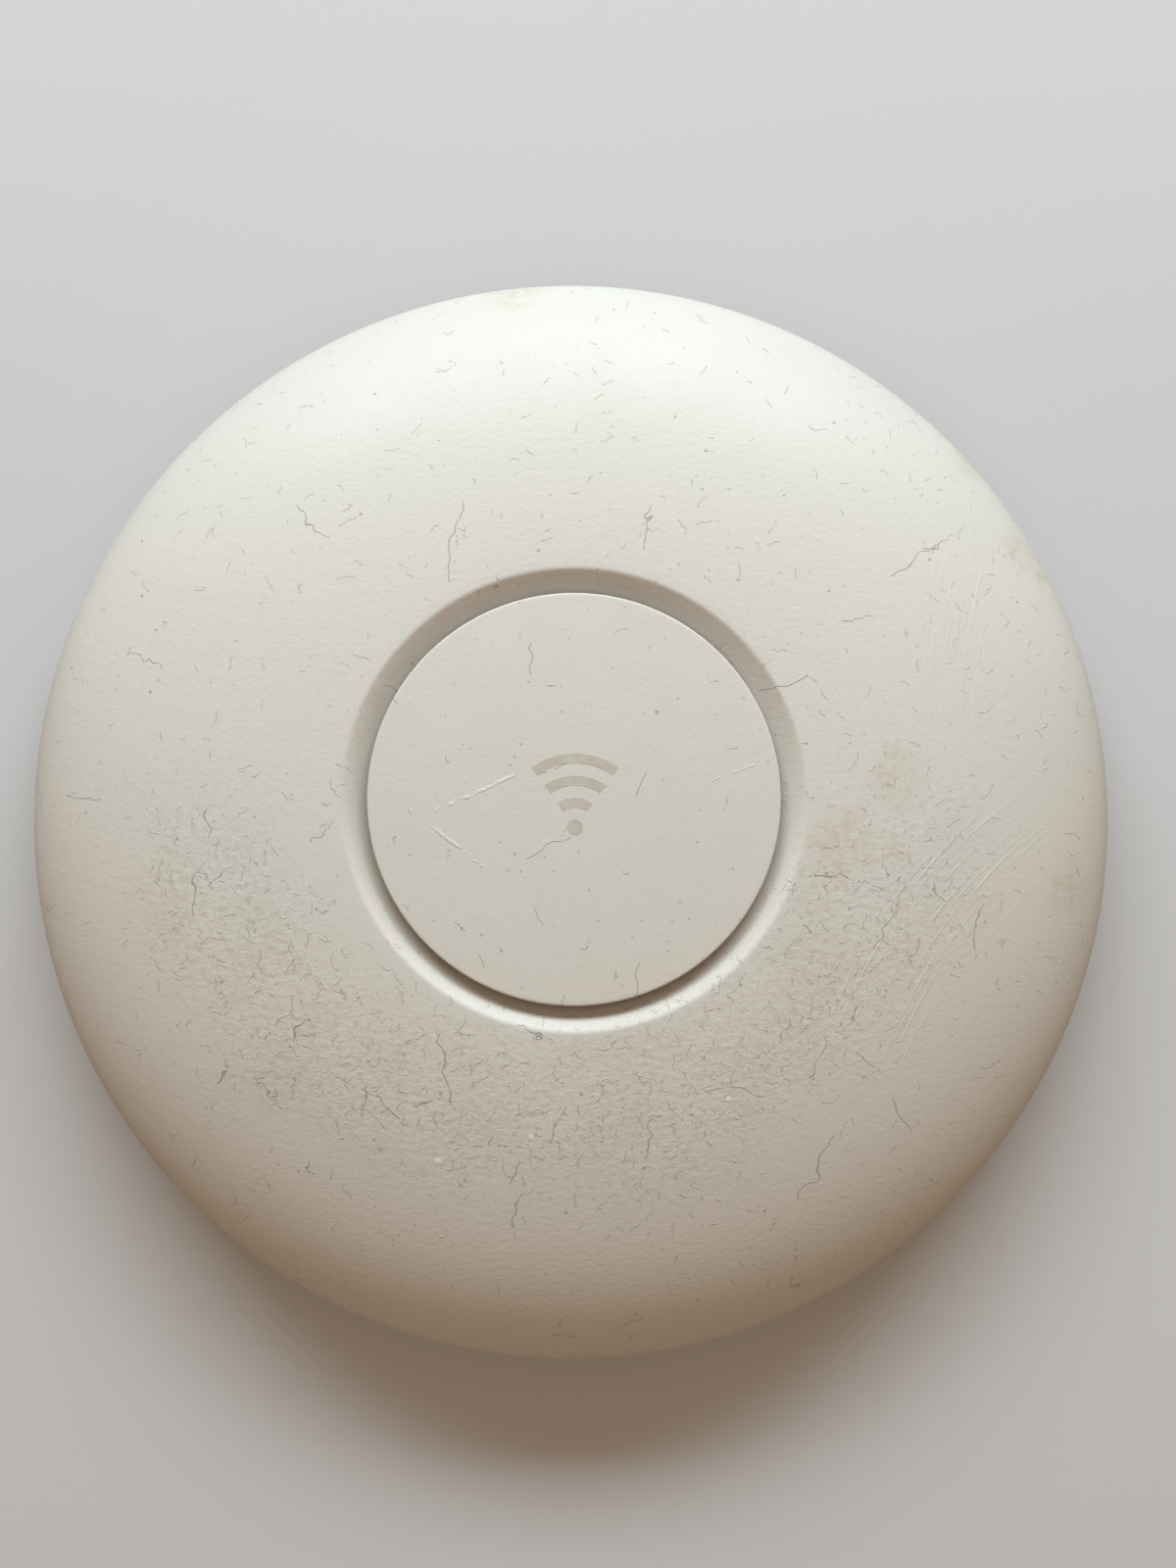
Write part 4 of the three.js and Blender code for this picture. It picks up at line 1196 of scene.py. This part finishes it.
bracket = spun("bracket_plate", bracket_section())
ribs = [spoke("rib", angle, 0.8, 16, HOOP_RADIUS + 1, 2, 4.4) for angle in (60, 90, 150)]
lugs = []
for angle in BAYONET_ANGLES:
    lugs.append(arc_bar("lug", PLATE_RADIUS - 1, LUG_RADIUS, angle - 9.5, angle + 8, 3.8, 5.5))
    lugs.append(
        arc_bar("stop", PLATE_RADIUS - 1.2, LUG_RADIUS - 0.15, angle - 11, angle - 7.9, 1.5, 5.4)
    )
welded(bracket, *ribs, *lugs)
carved(
    bracket,
    bay_block("cable_opening", BAY_HALF_WIDTH - 2, 47.5, BAY_FRONT_Y - 1, -1, 5),
    spoke("hoop_gate", 270, CHANNEL_HALF_WIDTH + 1, HOOP_RADIUS - 1, PLATE_RADIUS + 1, 2.5, 8),
    arc_bar("lever_slot", 41, HOOP_RADIUS - 0.4, 20, 56, -1, 7),
    drum("pivot_hole", 3.2, -1, 7, polar(LEVER_RADIUS, 20)),
    arc_bar("tooth_gate", HOOP_RADIUS - 1, PLATE_RADIUS + 1, 43, 55, 2.5, 7),
    *[screw_slot(angle) for angle in (0, 120, 180)],
)
softened(bracket, 0.12)
place_on(bracket, "bracket", bracket_grey, "bracket_plastic", "mounting_bracket")

# %% Release lever
def release_lever():
    arm = arc_bar("release_lever", LEVER_RADIUS - 1, LEVER_RADIUS + 1, 20, 52, 0.4, 5.4, 24)
    pivot = drum("pivot", 2.6, 0.4, 5.4, polar(LEVER_RADIUS, 20))
    tooth = arc_bar("tooth", LEVER_RADIUS, LUG_RADIUS - GAP, 48.5, 51.5, 2.8, 5.3, 4)
    return softened(welded(arm, pivot, tooth), 0.15)


place_on(release_lever(), "lever", bracket_grey, "bracket_plastic", "lock_lever")

# %% [markdown]
# ## Screws
#
# Eight screws hold the case and the board. One is turned, with a rounded head, a thread of separate
# rings and a point, and gets a cross recess. The others are copies of it, each with its own mesh,
# and those of the board are the same screw upside down.

# %% One screw, eight times
HEAD_RADIUS, HEAD_HEIGHT = 2.2, 1.4
CORE_RADIUS, CREST_RADIUS = 0.86, 1.08
THREAD_START, THREAD_PITCH, SCREW_LENGTH = 1.7, 0.8, 9.0
CROSS_HALF_WIDTH, CROSS_REACH, CROSS_DEPTH = 0.32, 1.25, 0.75


def model_screw():
    """Head down at z = 0, point up."""
    thread = []
    for step in range(9):
        z = THREAD_START + THREAD_PITCH * step
        thread += [(CORE_RADIUS, z), (CREST_RADIUS, z + 0.3), (CREST_RADIUS, z + 0.42),
                   (CORE_RADIUS, z + 0.72)]
    head = [(0, 0), (HEAD_RADIUS, 0.12, 0.55), (HEAD_RADIUS, HEAD_HEIGHT, 0.1), (0.9, HEAD_HEIGHT)]
    screw = spun("screw", rounded(head, 4) + thread + [(0, SCREW_LENGTH)], 40)
    cross = [
        spoke("cut", angle, CROSS_HALF_WIDTH, -CROSS_REACH, CROSS_REACH, -1, CROSS_DEPTH)
        for angle in (0, 90)
    ]
    return smooth(carved(screw, *cross), 40)


screw = model_screw()
for i, angle in enumerate(CASE_SCREW_ANGLES, 1):
    x, y = polar(CASE_SCREW_RADIUS, angle)
    place_on(copied(screw, f"case_screw_steel_{i}", (x, y, CASE_SCREW_Z), 17 * i),
             "access_point", zinc, "screw_steel", f"case_screw_{i}")
screw.data.transform(Matrix.Rotation(math.pi, 4, "X"))
for i, angle in enumerate(BOARD_SCREW_ANGLES, 1):
    x, y = polar(BOARD_SCREW_RADIUS, angle)
    place_on(copied(screw, f"board_screw_steel_{i}", (x, y, BOARD_TOP + HEAD_HEIGHT), 23 * i),
             "access_point", zinc, "screw_steel", f"board_screw_{i}")
bpy.data.objects.remove(screw)

# %% [markdown]
# ## The sockets in the bay
#
# A network socket is a black block with a stepped mouth: a wide upper part for the plug and a
# narrow one below for its latch. Eight gold spring wires slope down from the back of its roof. The
# socket is cut out of a block and its edges are softened. The wires are one bar with eight bent
# fingers.

# %% Network sockets
JACK_WIDTH, JACK_HEIGHT, JACK_DEPTH = 16.0, 12.1, 19.0
MOUTH_WIDTH, MOUTH_HEIGHT, MOUTH_DEPTH = 11.8, 7.6, 14.0
LATCH_WIDTH, LATCH_HEIGHT = 6.2, 2.4
JACK_FLOOR = 1.2
LATCH_TOP = -JACK_HEIGHT + JACK_FLOOR + LATCH_HEIGHT


def network_socket():
    """Mouth at y = 0, roof at z = 0."""
    floor_z = -JACK_HEIGHT + JACK_FLOOR
    block = bar("socket", (-JACK_WIDTH / 2, 0, -JACK_HEIGHT), (JACK_WIDTH / 2, JACK_DEPTH, 0))
    half, latch = MOUTH_WIDTH / 2, LATCH_WIDTH / 2
    mouth = bar("mouth", (-half, -1, LATCH_TOP), (half, MOUTH_DEPTH, LATCH_TOP + MOUTH_HEIGHT))
    slot = bar("slot", (-latch, -1, floor_z), (latch, MOUTH_DEPTH, LATCH_TOP + 1))
    notches = [
        bar("notch", (x - 0.5, 2.5, -JACK_HEIGHT - 1), (x + 0.5, 16, -JACK_HEIGHT + 0.35))
        for x in (-6, 6)
    ]
    return softened(carved(block, welded(mouth, slot), *notches), 0.2)


WIRE_PITCH = 1.15


def spring_wires():
    """Eight fingers that slope down towards the mouth from a bar at the back."""
    top = LATCH_TOP + MOUTH_HEIGHT - GAP
    comb = bar("comb", (-4.9, 9, top - 0.8), (4.9, MOUTH_DEPTH - GAP, top))
    fingers = []
    for i in range(8):
        x = (i - 3.5) * WIRE_PITCH
        finger = bar("finger", (x - 0.22, 4, top - 0.75), (x + 0.22, 10, top - 0.4))
        bpy.ops.object.mode_set(mode="EDIT")
        bpy.ops.mesh.select_all(action="SELECT")
        bpy.ops.mesh.bisect(plane_co=(0, 8.6 * MM, 0), plane_no=(0, 1, 0))
        bpy.ops.object.mode_set(mode="OBJECT")
        for vertex in finger.data.vertices:
            if vertex.co.y < 5 * MM:
                vertex.co.z -= 0.5 * MM
        fingers.append(finger)
    return smooth(welded(comb, *fingers))


socket, wires = network_socket(), spring_wires()
for name in ("main", "second"):
    place = (PORTS[name][0], PORT_Y, BOARD_UNDER)
    place_on(copied(socket, f"{name}_socket", place), "access_point", socket_black,
             "port_plastic", f"{name}_port_jack")
    place_on(copied(wires, f"{name}_spring_wires", place), "access_point", gold,
             "contact_gold", f"{name}_port_contacts")
bpy.data.objects.remove(socket)
bpy.data.objects.remove(wires)

# %% Serial socket: a folded tin shell with two spring windows in its floor
def serial_socket():
    x, width, height = PORTS["usb"]
    depth, sheet = 14.0, 0.6
    low = (x - width / 2, PORT_Y, BOARD_UNDER - height)
    high = (x + width / 2, PORT_Y + depth, BOARD_UNDER)
    shell = bar("serial_shell", low, high)
    inside = bar("inside", (low[0] + sheet, low[1] - 1, low[2] + sheet),
                 (high[0] - sheet, high[1] - 2, high[2] - sheet))
    windows = [
        bar("window", (x + side - 1, PORT_Y + 3, low[2] - 1),
            (x + side + 1, PORT_Y + 7, low[2] + 1))
        for side in (-3, 3)
    ]
    return softened(carved(shell, inside, *windows), 0.2)


place_on(serial_socket(), "access_point", tin, "tin_plate", "usb_port")

# %% [markdown]
# ## The CAD pieces that stay
#
# The board and what is soldered to it are boxes, cans and stamped sheet, and the CAD has their
# shapes right. They keep those shapes and only get the finishes made above.

# %% Finishes of the kept CAD nodes
KEPT = {
    board_green: ("main_board",),
    cast_aluminium: ("heat_spreader",),
    tin: ("cpu_shield", "radio_left_shield", "radio_right_shield"),
    soft_pad: ("cpu_pad", "radio_left_pad", "radio_right_pad"),
    nickel_brass: tuple(f"antenna_{band}_band_{i}" for band in ("low", "high") for i in (1, 2, 3)),
    socket_black: ("usb_tongue",),
    chip_black: ("lan_transformer_1", "lan_transformer_2", "reset_switch"),
    plunger_grey: ("reset_button",),
    ferrite: ("power_transformer", "power_inductor"),
    drawn_aluminium: ("capacitor_1", "capacitor_2"),
    lamp_clear: tuple(f"status_led_{i}" for i in (1, 2, 3, 4)),
    paper: ("rear_label",),
}
for material, nodes in KEPT.items():
    for node in nodes:
        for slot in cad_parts[node].material_slots:
            slot.material = material
print(sum(len(nodes) for nodes in KEPT.values()), "CAD nodes painted")
